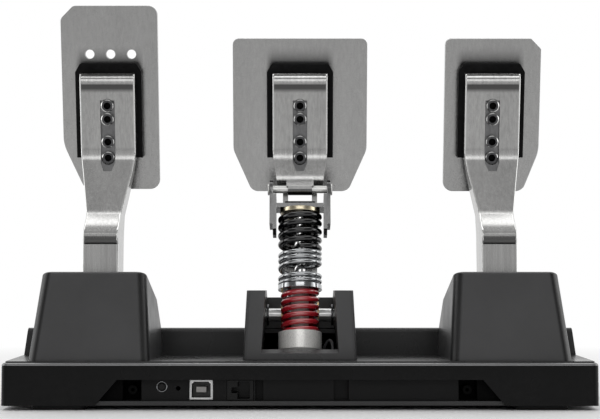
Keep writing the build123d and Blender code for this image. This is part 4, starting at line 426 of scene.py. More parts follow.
def pick(piece):
    """Selects one object alone and makes it active."""
    bpy.ops.object.select_all(action="DESELECT")
    piece.select_set(True)
    bpy.context.view_layer.objects.active = piece


def pick_faces(piece, wanted):
    """Enters edit mode with only the faces selected that pass the test."""
    pick(piece)
    edit_mode()
    bpy.ops.mesh.select_mode(type="FACE")
    bpy.ops.mesh.select_all(action="DESELECT")
    object_mode()
    for face in piece.data.polygons:
        face.select = wanted(face)
    edit_mode()


def settle(piece):
    """Applies the place of a new piece to its mesh and smooths its shading."""
    pick(piece)
    bpy.ops.object.transform_apply(location=True, rotation=True, scale=True)
    bpy.ops.object.shade_smooth_by_angle(angle=SETTLE_ANGLE)


def stand_for(piece, node):
    """Lets a piece ride and show in place of its CAD node."""
    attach(piece, BODY_OF[node])
    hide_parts(node)


def dress(piece, body, slot, material, *nodes):
    """Gives a finished piece its material, its body and the CAD nodes that it stands for."""
    piece.data.materials.clear()
    piece.data.materials.append(MATERIALS[material])
    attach(piece, body)
    if nodes:
        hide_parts(*nodes)
    return piece


def round_off(piece, width, segments, wanted, slot=-1):
    """Rounds the edges that pass the test, which gets both ends of each."""
    pick(piece)
    edit_mode()
    bpy.ops.mesh.select_mode(type="EDGE")
    bpy.ops.mesh.select_all(action="DESELECT")
    object_mode()
    points = [vertex.co for vertex in piece.data.vertices]
    for line in piece.data.edges:
        line.select = wanted(points[line.vertices[0]], points[line.vertices[1]])
    edit_mode()
    bpy.ops.mesh.bevel(
        offset=width, segments=segments, affect="EDGES", clamp_overlap=slot < 0, material=slot, miter_outer="ARC")
    object_mode()


def soften(node, width, material, segments=2, angle=30, smooth=30, edge=None, rounds=(), line=None):
    """Copy of a CAD node with merged faces and rounded edges, which replaces the node."""
    pick(frame["nodes"][node])
    bpy.ops.object.duplicate()
    piece = bpy.context.view_layer.objects.active
    piece.name = node + "_finished"
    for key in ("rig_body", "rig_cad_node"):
        if key in piece:
            del piece[key]
    piece.parent = None
    edit_mode()
    bpy.ops.mesh.select_all(action="SELECT")
    bpy.ops.mesh.remove_doubles(threshold=0.000002)
    bpy.ops.mesh.customdata_custom_splitnormals_clear()
    bpy.ops.mesh.dissolve_limited(angle_limit=math.radians(1))
    object_mode()
    piece.data.materials.clear()
    piece.data.materials.append(MATERIALS[material])
    for round_width, round_segments, wanted in rounds:
        round_off(piece, round_width, round_segments, wanted)
    # The outline's bevel faces take a lighter metal: painted highlight.
    if line:
        piece.data.materials.append(MATERIALS["Bright edge"])
        round_off(piece, line[0], 5, line[1], 1)
    bevel = piece.modifiers.new("Edges", "BEVEL")
    bevel.width = width
    bevel.segments = segments
    bevel.limit_method = "ANGLE"
    bevel.angle_limit = math.radians(angle)
    bevel.use_clamp_overlap = True
    bevel.miter_outer = "MITER_ARC"
    # The bevel faces take the lighter edge metal: painted highlight.
    if edge:
        piece.data.materials.append(MATERIALS[edge])
        bevel.material = 1
    bpy.ops.object.modifier_apply(modifier="Edges")
    bpy.ops.object.shade_smooth_by_angle(angle=math.radians(smooth))
    flat = piece.modifiers.new("Flat faces", "WEIGHTED_NORMAL")
    flat.keep_sharp = True
    bpy.ops.object.modifier_apply(modifier="Flat faces")
    stand_for(piece, node)
    return piece


def repaint(piece, material, wanted):
    """Gives the faces that pass the test another finish."""
    piece.data.materials.append(MATERIALS[material])
    number = len(piece.data.materials) - 1
    for face in piece.data.polygons:
        if wanted(face):
            face.material_index = number


def coat_node(node, material):
    """Gives a CAD node that keeps its shape its material."""
    body = frame["nodes"][node]
    body.data.materials.clear()
    body.data.materials.append(MATERIALS[material])


def duplicate_to(piece, name, move):
    """Copy of a piece with its own mesh, moved in its mesh."""
    pick(piece)
    bpy.ops.object.duplicate()
    copy = bpy.context.view_layer.objects.active
    copy.name = name
    copy.location = move
    bpy.ops.object.transform_apply(location=True, rotation=True, scale=True)
    return copy


def join(pieces, name):
    """Joins pieces into one mesh."""
    pick(pieces[0])
    for piece in pieces:
        piece.select_set(True)
    bpy.ops.object.join()
    joined = bpy.context.view_layer.objects.active
    joined.name = name
    return joined


def recalculate(piece):
    """Turns every face of a closed piece outwards."""
    pick(piece)
    edit_mode()
    bpy.ops.mesh.select_all(action="SELECT")
    bpy.ops.mesh.normals_make_consistent(inside=False)
    object_mode()


def socket_screw(radius, height, socket_radius, socket_depth, shank, length, name):
    """Socket-head screw, its head's top at the origin facing +Z."""
    bpy.ops.object.select_all(action="DESELECT")
    bpy.ops.mesh.primitive_cylinder_add(vertices=36, radius=radius, depth=height, location=(0, 0, -height / 2))
    screw = bpy.context.view_layer.objects.active
    screw.name = name
    bpy.ops.object.transform_apply(location=True, rotation=True, scale=True)
    pick_faces(screw, lambda face: face.normal.z > 0.9)
    bpy.ops.mesh.inset(thickness=radius * 0.13)
    bpy.ops.transform.translate(value=(0, 0, radius * 0.1))
    bpy.ops.mesh.inset(thickness=(radius - radius * 0.13) - socket_radius * 1.16)
    bpy.ops.mesh.inset(thickness=0.00005)
    bpy.ops.mesh.extrude_region_move(TRANSFORM_OT_translate={"value": (0, 0, -socket_depth * 0.35)})
    bpy.ops.transform.resize(value=(0.86, 0.86, 1))
    bpy.ops.mesh.extrude_region_move(TRANSFORM_OT_translate={"value": (0, 0, -socket_depth * 0.65)})
    object_mode()
    for vertex in screw.data.vertices:
        vertex.co.z -= radius * 0.1
    hexagon_socket(screw, socket_radius, -socket_depth * 0.3)
    pick_faces(screw, lambda face: face.normal.z < -0.9 and face.center.z < -height * 0.9)
    bpy.ops.mesh.inset(thickness=radius - shank)
    bpy.ops.mesh.extrude_region_move(TRANSFORM_OT_translate={"value": (0, 0, height - length)})
    object_mode()
    bpy.ops.object.shade_smooth_by_angle(angle=math.radians(30))
    screw.data.materials.append(MATERIALS["Screw steel"])

    def on_rim(face):
        return face.normal.z > 0.1 and math.hypot(face.center.x, face.center.y) > radius * 0.8

    def in_socket(face):
        return face.center.z > -height and face.center.z < -socket_depth * 0.3 and (
            math.hypot(face.center.x, face.center.y) < socket_radius * 1.08)

    # The head's rim is painted lighter: painted highlight.
    repaint(screw, "Bright edge", on_rim)
    # The hex socket is near-black: painted shade.
    repaint(screw, "Painted shade black", in_socket)
    return screw


def hexagon_socket(screw, radius, top):
    """Pulls the points of the screw's recess onto a hexagon."""
    for vertex in screw.data.vertices:
        across = math.hypot(vertex.co.x, vertex.co.y)
        if vertex.co.z < top and across < radius * 1.2 and across > 0:
            angle = math.atan2(vertex.co.y, vertex.co.x) % (math.pi / 3) - math.pi / 6
            reach = radius * math.cos(math.pi / 6) / math.cos(angle)
            vertex.co.x *= reach / across
            vertex.co.y *= reach / across


def coil(name, foot, up, radius, wire, length, turns, dead, top_dead, phase=0.0):
    """Compression spring with ground ends, standing at foot and running along up."""
    up = Vector(up).normalized()
    side = Vector((1, 0, 0))
    front = up.cross(side)
    per_turn = 36
    dead_pitch = wire * 1.06
    live = turns - dead - top_dead
    live_pitch = (length - wire / 2 - (dead + top_dead) * dead_pitch) / live
    points = []
    for step in range(int(per_turn * turns) + 1):
        turn = step / per_turn
        height = wire / 4 + min(turn, dead) * dead_pitch
        height += min(max(turn - dead, 0), live) * live_pitch + max(turn - turns + top_dead, 0) * dead_pitch
        angle = 2 * math.pi * (turn + phase)
        across = side * (radius * math.cos(angle)) + front * (radius * math.sin(angle))
        points.append(Vector(foot) + across + up * height)
    curve = bpy.data.curves.new(name, "CURVE")
    curve.dimensions = "3D"
    curve.bevel_depth = wire / 2
    curve.bevel_resolution = 6
    curve.use_fill_caps = True
    spline = curve.splines.new("POLY")
    spline.points.add(len(points) - 1)
    for point, place in zip(spline.points, points):
        point.co = (*place, 1)
    piece = bpy.data.objects.new(name, curve)
    bpy.context.scene.collection.objects.link(piece)
    pick(piece)
    bpy.ops.object.convert(target="MESH")
    piece = bpy.context.view_layer.objects.active
    for seat, normal in ((Vector(foot), up), (Vector(foot) + up * length, -up)):
        edit_mode()
        bpy.ops.mesh.select_all(action="SELECT")
        bpy.ops.mesh.bisect(plane_co=seat, plane_no=normal, use_fill=True, clear_inner=True)
        object_mode()
    recalculate(piece)
    bpy.ops.object.shade_smooth_by_angle(angle=math.radians(40))
    return piece


class PedalColours(bpy.types.PropertyGroup):
    """Colours of the finishes."""

    moulding: bpy.props.FloatVectorProperty(
        name="Black moulding", description="Satin black plastic of the base and hoods", subtype="COLOR",
        size=3, min=0, max=1, default=(0.038, 0.038, 0.039))
    housing: bpy.props.FloatVectorProperty(
        name="Charcoal moulding", description="Dark grey plastic of the brake housing", subtype="COLOR",
        size=3, min=0, max=1, default=(0.046, 0.046, 0.047))
    arm: bpy.props.FloatVectorProperty(
        name="Arm metal", description="Brushed aluminium of the arms", subtype="COLOR",
        size=3, min=0, max=1, default=(0.42, 0.418, 0.412))
    plate: bpy.props.FloatVectorProperty(
        name="Plate metal", description="Brushed aluminium of the pedal plates", subtype="COLOR",
        size=3, min=0, max=1, default=(0.40, 0.398, 0.394))
    red: bpy.props.FloatVectorProperty(
        name="Red spring", description="Powder coat of the lower spring", subtype="COLOR",
        size=3, min=0, max=1, default=(0.42, 0.008, 0.018))
    flange: bpy.props.FloatVectorProperty(
        name="Flange metal", description="Warm metal of the strut's spring flange", subtype="COLOR",
        size=3, min=0, max=1, default=(0.72, 0.64, 0.47))


class PedalSizes(bpy.types.PropertyGroup):
    """Sizes that a user would change."""

    soft_edge: bpy.props.FloatProperty(
        name="Moulded edge", description="Edge radius of the moulded pieces", default=0.0009, unit="LENGTH")
    metal_edge: bpy.props.FloatProperty(
        name="Metal edge", description="Edge radius of arms and plates", default=0.0007, unit="LENGTH")
    # The arms' outline edges carry a lighter metal as a painted highlight; this is their width.
    painted_highlight_edge: bpy.props.FloatProperty(
        name="Bright edge", description="Width of the polished edges of the arms", default=0.0009, unit="LENGTH")
    fine_edge: bpy.props.FloatProperty(
        name="Fine edge", description="Edge radius of small metal pieces", default=0.00025, unit="LENGTH")
    red_turns: bpy.props.FloatProperty(
        name="Red turns", description="Turns of the lower spring", default=8.0)
    silver_turns: bpy.props.FloatProperty(
        name="Silver turns", description="Turns of the middle spring", default=4.75)
    black_turns: bpy.props.FloatProperty(
        name="Black turns", description="Turns of the upper spring", default=4.5)


class PedalStage(bpy.types.PropertyGroup):
    """Camera and light values."""

    distance: bpy.props.FloatProperty(
        name="Camera distance", description="Distance behind the middle of the set", default=0.935, unit="LENGTH")
    height: bpy.props.FloatProperty(
        name="Camera height", description="Height over the floor", default=0.0684, unit="LENGTH")
    pitch: bpy.props.FloatProperty(
        name="Camera pitch", description="Upward tilt", default=math.radians(3.155), unit="ROTATION")
    lens: bpy.props.FloatProperty(
        name="Lens", description="Focal length on a 36 mm sensor", default=85.4, unit="CAMERA")
    top_power: bpy.props.FloatProperty(
        name="Top light", description="Power of the overhead softbox", default=5.0, subtype="POWER")
    side_power: bpy.props.FloatProperty(
        name="Side lights", description="Power of each side strip", default=2.6, subtype="POWER")
    fill: bpy.props.FloatProperty(
        name="Fill", description="Strength of the surroundings as a light", default=0.5)
    near_reflection: bpy.props.FloatProperty(
        name="Near reflection", description="What metal sees on the camera's side", default=0.15)
    camera_box: bpy.props.FloatProperty(
        name="Camera box", description="What metal sees straight behind the camera", default=0.7)
    above_camera: bpy.props.FloatProperty(
        name="Above camera", description="What metal sees over the camera", default=0.6)
    side_panels: bpy.props.FloatProperty(
        name="Side panels", description="What gloss sees on both sides", default=1.0)
    fade_start: bpy.props.FloatProperty(
        name="Fade start", description="Where the floor begins to fade to white", default=0.3, unit="LENGTH")
    fade_end: bpy.props.FloatProperty(
        name="Fade end", description="Where the floor is plain white", default=0.8, unit="LENGTH")


class PedalSettings(bpy.types.PropertyGroup):
    """All values of the set."""

    colours: bpy.props.PointerProperty(type=PedalColours, name="Colours", description="Colours of the finishes")
    sizes: bpy.props.PointerProperty(type=PedalSizes, name="Sizes", description="Sizes of the details")
    stage: bpy.props.PointerProperty(type=PedalStage, name="Stage", description="Camera and lights")


class PEDALS_OT_finishes(bpy.types.Operator):
    """Builds the shared node groups and every finish"""

    bl_idname = "pedals.finishes"
    bl_label = "Finishes"

    def execute(self, context):
        colours = context.scene.pedal_set.colours
        GROUPS["moulding"] = build_moulding_group()
        GROUPS["brushing"] = build_brushing_group()
        GROUPS["wear"] = build_wear_group()
        black = tuple(colours.moulding)
        # The hoods' rounded side corners keep only 0.15 of the colour: painted shade.
        moulded("Satin black moulding with painted corner shade", black, 0.36, grain_depth=0.22, wear=0.35, corner=0.15)
        moulded("Cover moulding", tuple(c * 0.34 for c in black), 0.28, grain_depth=0.16, wear=0.25, specular=0.35)
        moulded("Tray moulding", tuple(c * 0.08 for c in black), 0.24, grain_depth=0.12, wear=0.2, specular=0.13)
        # A lighter copy of the black moulding for the up-facing lip: painted highlight.
        moulded("Lip moulding with painted highlight", tuple(c * 3.0 for c in black), 0.2, grain_depth=0.08, specular=1.0, lift=1.2)
        # Near-black for hollows: painted shade.
        moulded("Painted shade black", (0.0012, 0.0012, 0.0012), 0.6, grain_depth=0.1, specular=0.05, lift=1.0)
        moulded("Charcoal moulding", tuple(colours.housing), 0.34, grain_depth=0.2, wear=0.5)
        moulded("Panel moulding", tuple(c * 0.12 for c in black), 0.45, grain_depth=0.3, specular=0.16)
        moulded("Block moulding", (0.0022, 0.0022, 0.0024), 0.4, grain_scale=1100.0, grain_depth=0.2, wear=0.15,
                specular=0.07)
        moulded("Socket plastic", (0.006, 0.006, 0.006), 0.35, grain_depth=0.1, specular=0.2)
        moulded("Grey socket plastic", (0.06, 0.06, 0.058), 0.4, grain_depth=0.1, lift=1.1)
        moulded("Tongue plastic", (0.30, 0.29, 0.28), 0.4, grain_depth=0.1, lift=1.1)
        moulded("Foot rubber", (0.012, 0.012, 0.012), 0.78, grain_scale=900.0, grain_depth=0.6, specular=0.3)
        moulded("Stop rubber", (0.010, 0.010, 0.010), 0.6, grain_scale=900.0, grain_depth=0.4, specular=0.4)
        moulded("Wire sheath", (0.10, 0.10, 0.105), 0.35, grain_scale=2500.0, grain_depth=0.12)
        moulded("Solder mask", (0.008, 0.075, 0.03), 0.3, grain_scale=2200.0, grain_depth=0.1, lift=1.3)
        moulded("Magnet plating", (0.3, 0.3, 0.3), 0.25, grain_depth=0.05)
        # The arm metal is darkened in a band just under the rolled top: painted shade.
        metal("Arm brushed metal", tuple(colours.arm), 0.22, along=(1, 1, 0.016), depth=0.12, contrast=0.26,
              roll=(ROLL_LOW, ROLL_HIGH, ROLL_DROP),
              painted_shade_bands=((lambda tree: level_band(tree, *ROLL_SHADE_BAND), SHADE_BAND_SHARE),))
        # The knee takes a lighter copy of the arm metal, a painted light, darkened in a band low down, a painted
        # shade.
        metal("Knee metal with painted light and shade", tuple(channel * 1.15 for channel in colours.arm), 0.24, along=(1, 1, 0.016), contrast=0.2,
              curl=KNEE_CURL,
              painted_shade_bands=((lambda tree: level_band(tree, *KNEE_SHADE_BAND), SHADE_BAND_SHARE),))
        metal("Plate brushed metal", tuple(colours.plate), 0.25, along=(1, 1, 0.02), depth=0.14, contrast=0.14,
              painted_shade_bands=((block_halo, HALO_SHARE),))
        # Light metal for the arms' outline edges and the screws' rims: painted highlight.
        metal("Bright edge", (0.66, 0.66, 0.65), 0.18, along=(1, 1, 0.05), depth=0.04, contrast=0.05, spread=0.04)
        # Pale metal: a painted highlight on the bevels of plates and clevis, the frame's own colour on the socket
        # frame.
        metal("Pale metal and painted edge highlight", (0.55, 0.55, 0.55), 0.22, along=(1, 1, 0.05), depth=0.05, contrast=0.08)
        # Darker metal for the screw groove: painted shade.
        metal("Groove metal with painted shade", (0.21, 0.21, 0.212), 0.40, along=(1, 1, 0.05), depth=0.2, contrast=0.3)
        metal("Turned steel", (0.68, 0.68, 0.68), 0.2, along=(0.05, 1, 1), depth=0.08, contrast=0.15, spread=0.05,
              metallic=0.7)
        metal("Polished steel", (0.72, 0.72, 0.72), 0.1, along=(1, 1, 1), depth=0.03, contrast=0.08, spread=0.03)
        metal("Screw steel", (0.085, 0.085, 0.088), 0.2, along=(1, 1, 1), depth=0.08, contrast=0.3, spread=0.06)
        metal("Cup metal", (0.90, 0.89, 0.86), 0.3, along=(1, 1, 0.03), depth=0.1, contrast=0.08, spread=0.06,
              metallic=0.35)
        metal("Satin pin", (0.82, 0.82, 0.80), 0.25, along=(1, 1, 1), depth=0.04, contrast=0.08, spread=0.04,
              metallic=0.6)
        metal("Flange metal", tuple(colours.flange), 0.28, along=(1, 1, 1), depth=0.06, contrast=0.15)
        metal("Clevis metal", (0.13, 0.13, 0.13), 0.2, along=(1, 1, 0.04), depth=0.1, contrast=0.25)
        metal("Cell metal", (0.55, 0.55, 0.55), 0.35, along=(1, 0.03, 1), depth=0.15, contrast=0.2)
        metal("Zinc coil", (0.46, 0.47, 0.48), 0.13, along=(1, 1, 1), depth=0.06, contrast=0.3, spread=0.05)
        metal("Bush metal", (0.52, 0.36, 0.17), 0.3, along=(1, 1, 1), depth=0.08, contrast=0.2)
        painted("Red powder coat", tuple(colours.red), 0.25, coat=1.0, dust=0.05, gloss=2.0)
        painted("Black powder coat", (0.0025, 0.0025, 0.003), 0.1, coat=0.5, dust=0.02)
        painted("Black steel", (0.014, 0.014, 0.015), 0.42, coat=0.2, peel=0.3, dust=0.15)
        painted("Black oxide", (0.020, 0.020, 0.021), 0.3, coat=0.0, peel=0.1, dust=0.1, metallic=0.6)
        return {"FINISHED"}


class PEDALS_OT_base(bpy.types.Operator):
    """Tray, cover, plate, screws and feet of the base"""

    bl_idname = "pedals.base"
    bl_label = "Base"

    def execute(self, context):
        sizes = context.scene.pedal_set.sizes
        tray = soften("base_tray", sizes.soft_edge * 0.5, "Tray moulding")
        # The tray's up-facing lip faces take the lighter moulding: painted highlight.
        repaint(tray, "Lip moulding with painted highlight", lambda face: face.normal.z > 0.12 and face.center.z > LIP_LOW)
        soften("top_cover", sizes.soft_edge * 0.6, "Cover moulding")
        soften("base_plate", sizes.fine_edge, "Black steel", segments=1)
        coat_node("base_screws", "Black oxide")
        coat_node("bracket_screws", "Black oxide")
        soften("rubber_feet", sizes.fine_edge * 2, "Foot rubber")
        return {"FINISHED"}


class PEDALS_OT_recess(bpy.types.Operator):
    """Connector panel, sockets, key and boards"""

    bl_idname = "pedals.recess"
    bl_label = "Recess"

    def execute(self, context):
        sizes = context.scene.pedal_set.sizes
        panel = soften("connector_panel", sizes.fine_edge, "Panel moulding")
        for side in (1, -1):
            pick_faces(panel, lambda face: True)
            bpy.ops.mesh.bisect(plane_co=(side * POCKET_INNER, 0, 0), plane_no=(1, 0, 0))
            object_mode()
        # The panel beyond the pocket's inner walls is near-black: painted shade.
        repaint(panel, "Painted shade black", lambda face: abs(face.center.x) > POCKET_INNER)
        soften("usb_shell", sizes.fine_edge * 0.5, "Polished steel")
        insulator = soften("usb_insulator", sizes.fine_edge, "Grey socket plastic")
        tongue = max(corner.co.y for corner in insulator.data.vertices) - 0.5 * MM
        repaint(insulator, "Tongue plastic", lambda face: face.center.y > tongue)
        self.socket_frame(context)
        soften("accessory_socket", sizes.fine_edge, "Socket plastic")
        soften("service_key", sizes.fine_edge, "Socket plastic")
        for node in ("main_board", "amplifier_board", "sensor_boards"):
            coat_node(node, "Solder mask")
        coat_node("board_posts", "Panel moulding")
        self.key_ring(context)
        return {"FINISHED"}

    def socket_frame(self, context):
        """Square bright frame round the mouth of the data socket."""
        low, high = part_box("usb_shell")
        middle = (low + high) / 2
        bpy.ops.object.select_all(action="DESELECT")
        bpy.ops.mesh.primitive_cube_add(size=1, location=(middle.x, high.y + FRAME_DEPTH * 0.6, middle.z))
        frame_piece = context.view_layer.objects.active
        frame_piece.name = "socket_frame"
        frame_piece.scale = (high.x - low.x + 2 * FRAME_PROUD, FRAME_DEPTH, high.z - low.z + FRAME_PROUD)
        bpy.ops.object.transform_apply(location=True, rotation=True, scale=True)
        pick_faces(frame_piece, lambda face: abs(face.normal.y) > 0.9)
        bpy.ops.mesh.inset(thickness=FRAME_BORDER, use_individual=True)
        bpy.ops.mesh.delete(type="FACE")
        bpy.ops.mesh.select_mode(type="EDGE")
        bpy.ops.mesh.select_non_manifold()
        bpy.ops.mesh.bridge_edge_loops()
        object_mode()
        recalculate(frame_piece)
        bevel = frame_piece.modifiers.new("Edges", "BEVEL")
        bevel.width = FRAME_PROUD * 0.3
        bevel.segments = 2
        bpy.ops.object.modifier_apply(modifier="Edges")
        settle(frame_piece)
        dress(frame_piece, "base", SLOT_OF["usb_shell"], "Pale metal and painted edge highlight")

    def key_ring(self, context):
        """Thin bezel round the service key."""
        low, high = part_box("service_key")
        bpy.ops.object.select_all(action="DESELECT")
        bpy.ops.mesh.primitive_torus_add(
            location=((low.x + high.x) / 2, PANEL_FACE, (low.z + high.z) / 2),
            rotation=(math.pi / 2, 0, 0),
            major_segments=48,
            minor_segments=10,
            major_radius=2.75 * MM,
            minor_radius=0.22 * MM)
        ring = context.view_layer.objects.active
        ring.name = "key_ring"
        settle(ring)
        dress(ring, "base", SLOT_OF["connector_panel"], "Zinc coil")


class PEDALS_OT_hoods(bpy.types.Operator):
    """Hoods over the side pivots and the brake housing"""

    bl_idname = "pedals.hoods"
    bl_label = "Hoods and housing"

    def execute(self, context):
        sizes = context.scene.pedal_set.sizes
        for name in ("throttle", "clutch"):
            soften(name + "_hood", sizes.soft_edge * 0.7, "Satin black moulding with painted corner shade", segments=3)
        soften("brake_housing", sizes.soft_edge * 1.6, "Charcoal moulding", segments=4)
        return {"FINISHED"}


class PEDALS_OT_plates(bpy.types.Operator):
    """Pedal plates, head blocks and the screws that hold them"""

    bl_idname = "pedals.plates"
    bl_label = "Plates and blocks"

    def execute(self, context):
        sizes = context.scene.pedal_set.sizes
        for name in PEDALS:
            # The plate's edge bevels take the pale metal: painted highlight.
            soften(name + "_plate", sizes.metal_edge, "Plate brushed metal", segments=4, edge="Pale metal and painted edge highlight")
            soften(name + "_head_block", sizes.fine_edge * 2, "Block moulding")
            soften(name + "_plate_screws", sizes.fine_edge * 0.6, "Black oxide")
        return {"FINISHED"}


def front_of_arm(height):
    """Distance and half width of a side arm's front face at a height."""
    if height > ARM_LINE[0][0]:
        return ARM_LINE[0][1] + (height - ARM_LINE[0][0]) * math.tan(LEAN), ARM_LINE[0][2]
    for (high, near, wide), (low, far, slim) in zip(ARM_LINE, ARM_LINE[1:]):
        if height >= low:
            share = (height - low) / (high - low)
            return far + (near - far) * share, slim + (wide - slim) * share
    return ARM_LINE[-1][1:]


def on_bend(height):
    """Test for edges across an arm's front at one of its bends."""

    def wanted(first, second):
        place = front_of_arm(height)[0]
        level = all(abs(point.z - height) < 0.3 * MM and abs(point.y - place) < 0.3 * MM for point in (first, second))
        return level and abs(first.x - second.x) > 2 * MM

    return wanted


def on_outline(across, head_only):
    """Test for the long edges between an arm's front and its sides."""

    def wanted(first, second):
        for point in (first, second):
            place, half = front_of_arm(point.z)
            if head_only and point.z < HEAD_FOOT.z:
                return False
            if abs(abs(point.x - across) - half) > 0.6 * MM or point.y < place - 1.7 * MM:
                return False
        return abs(first.x - second.x) < 6 * MM and max(first.z, second.z) > 60 * MM

    return wanted


class PEDALS_OT_arms(bpy.types.Operator):
    """Arms of the three pedals with their screws, bushes and magnets"""

    bl_idname = "pedals.arms"
    bl_label = "Arms"

    def execute(self, context):
        sizes = context.scene.pedal_set.sizes
        for name in PEDALS:
            arm = soften(
                name + "_arm",
                sizes.metal_edge,
                "Arm brushed metal",
                segments=3,
                angle=38,
                smooth=20,
                rounds=[(width, 6, on_bend(level)) for width, level in BENDS],
                # The outline edges get a painted highlight.
                line=(sizes.painted_highlight_edge, on_outline(PEDALS[name], name == "brake")))
            self.darken_groove(arm, PEDALS[name])
            if name != "brake":
                # Upward-facing knee faces take the lighter knee metal: painted light, with a painted shade band.
                repaint(arm, "Knee metal with painted light and shade", lambda face: (
                    face.normal.y > 0.3 and abs(face.normal.x) < 0.1 and KNEE_LOW < face.center.z < KNEE_HIGH
                    and face.center.y > front_of_arm(face.center.z)[0] - 1.5 * MM))
            else:
                repaint(arm, "Clevis metal", lambda face: (
                    math.hypot(face.center.y - PIN_PLACE.y, face.center.z - PIN_PLACE.z) < CLEVIS_REACH))
            coat_node(name + "_bushes", "Bush metal")
        for name in ("throttle", "clutch"):
            coat_node(name + "_magnet", "Magnet plating")
        screw = socket_screw(0.00385, 0.0028, 0.0019, 0.0018, 0.002, 0.0139, "head_screw")
        turn = Matrix((Vector((1, 0, 0)), HEAD_UP, -HEAD_IN)).transposed().to_4x4()
        for name, across in PEDALS.items():
            group = []
            for number, up in enumerate(HEAD_SCREWS_MM):
                place = HEAD_FOOT + Vector((across, 0, 0)) + HEAD_UP * up * MM - HEAD_IN * HEAD_SCREW_SINK_MM * MM
                copy = duplicate_to(screw, name + "_screw_" + str(number), (0, 0, 0))
                copy.data.transform(Matrix.Translation(place) @ turn)
                group.append(copy)
            joined = join(group, name + "_arm_screws_finished")
            stand_for(joined, name + "_arm_screws")
        bpy.data.objects.remove(screw)
        return {"FINISHED"}

    def darken_groove(self, arm, across):
        """Gives the unpolished floor and walls of the screw groove their own finish, rougher and darker; the darker
        colour is painted shade.
        """

        def in_groove(face):
            corners = [arm.data.vertices[number].co for number in face.vertices]
            narrow = max(abs(corner.x - across) for corner in corners) < GROOVE_HALF
            return narrow and min(corner.z for corner in corners) > GROOVE_LOW

        repaint(arm, "Groove metal with painted shade", in_groove)


class PEDALS_OT_pivots(bpy.types.Operator):
    """Brackets, shafts and clips of the pivots, and the return springs"""

    bl_idname = "pedals.pivots"
    bl_label = "Pivots"

    def execute(self, context):
        sizes = context.scene.pedal_set.sizes
        for name in PEDALS:
            soften(name + "_bracket", sizes.fine_edge * 1.5, "Black steel")
        soften("pivot_shafts", sizes.fine_edge, "Turned steel")
        soften("shaft_clips", sizes.fine_edge, "Screw steel")
        for name in ("throttle", "clutch"):
            low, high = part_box(name + "_return_spring")
            middle = (low + high) / 2
            foot = Vector((middle.x, middle.y, 0.0082))
            piece = coil(name + "_return_coil", foot, (0, 0, 1), 0.0052, 0.0016, 0.0278, 6.0, 1.0, 1.0)
            dress(piece, "base", SLOT_OF[name + "_return_spring"], "Zinc coil", name + "_return_spring")
            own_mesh(piece)
        return {"FINISHED"}


class PEDALS_OT_strut(bpy.types.Operator):
    """Brake strut with its springs, cup, plunger and clevis"""

    bl_idname = "pedals.strut"
    bl_label = "Brake strut"

    def execute(self, context):
        sizes = context.scene.pedal_set.sizes
        fine = sizes.fine_edge
        soften("strut_cup", fine, "Cup metal")
        soften("lower_collar", fine, "Zinc coil")
        soften("plunger_rod", fine, "Polished steel")
        soften("strut_flange", fine * 2, "Flange metal")
        # The clevis's edge bevels take the pale metal: painted highlight.
        soften("strut_clevis", fine * 2.4, "Clevis metal", segments=3, edge="Pale metal and painted edge highlight")
        soften("clevis_pin", fine, "Satin pin")
        soften("bump_stop", fine, "Stop rubber")
        springs = (
            ("red_spring", 5.6, 41.6, 11.4, 3.1, sizes.red_turns, 0.5, 0.5, -0.25, "Red powder coat"),
            ("silver_spring", 44.4, 65.15, 13.1, 2.9, sizes.silver_turns, 1.6, 2.5, -0.05, "Zinc coil"),
            ("black_spring", 65.15, 88.15, 13.2, 3.6, sizes.black_turns, 0.5, 1.0, 0.25, "Black powder coat"),
        )
        collar_move = JOINTS["collar_stroke"]["range_m"][1]
        top_move = JOINTS["strut_stroke"]["range_m"][1]
        below, above = (5.6 * MM, 0.0, 41.6 * MM, collar_move), (44.4 * MM, collar_move, 88.15 * MM, top_move)
        for node, low, high, outer, wire, turns, dead, top_dead, phase, material in springs:
            radius = (outer - wire / 2) * MM
            foot = STRUT_FOOT + STRUT_UP * low * MM
            length = (high - low) * MM
            piece = coil(
                node + "_wound", foot, STRUT_UP, radius, wire * MM, length, turns, dead, top_dead, phase)
            dress(piece, "strut_lower", SLOT_OF[node], material, node)
            seat, seat_move, end, end_move = below if node == "red_spring" else above
            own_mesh(piece)
        return {"FINISHED"}


class PEDALS_OT_load_cell(bpy.types.Operator):
    """Load cell under the strut, its yoke, bolts and wire"""

    bl_idname = "pedals.load_cell"
    bl_label = "Load cell"

    def execute(self, context):
        fine = context.scene.pedal_set.sizes.fine_edge
        soften("load_cell", fine * 2, "Cell metal")
        soften("load_cell_bolts", fine, "Screw steel")
        soften("foot_yoke", fine * 2, "Black steel")
        soften("foot_pin", fine, "Polished steel")
        coat_node("load_cell_wire", "Wire sheath")
        return {"FINISHED"}


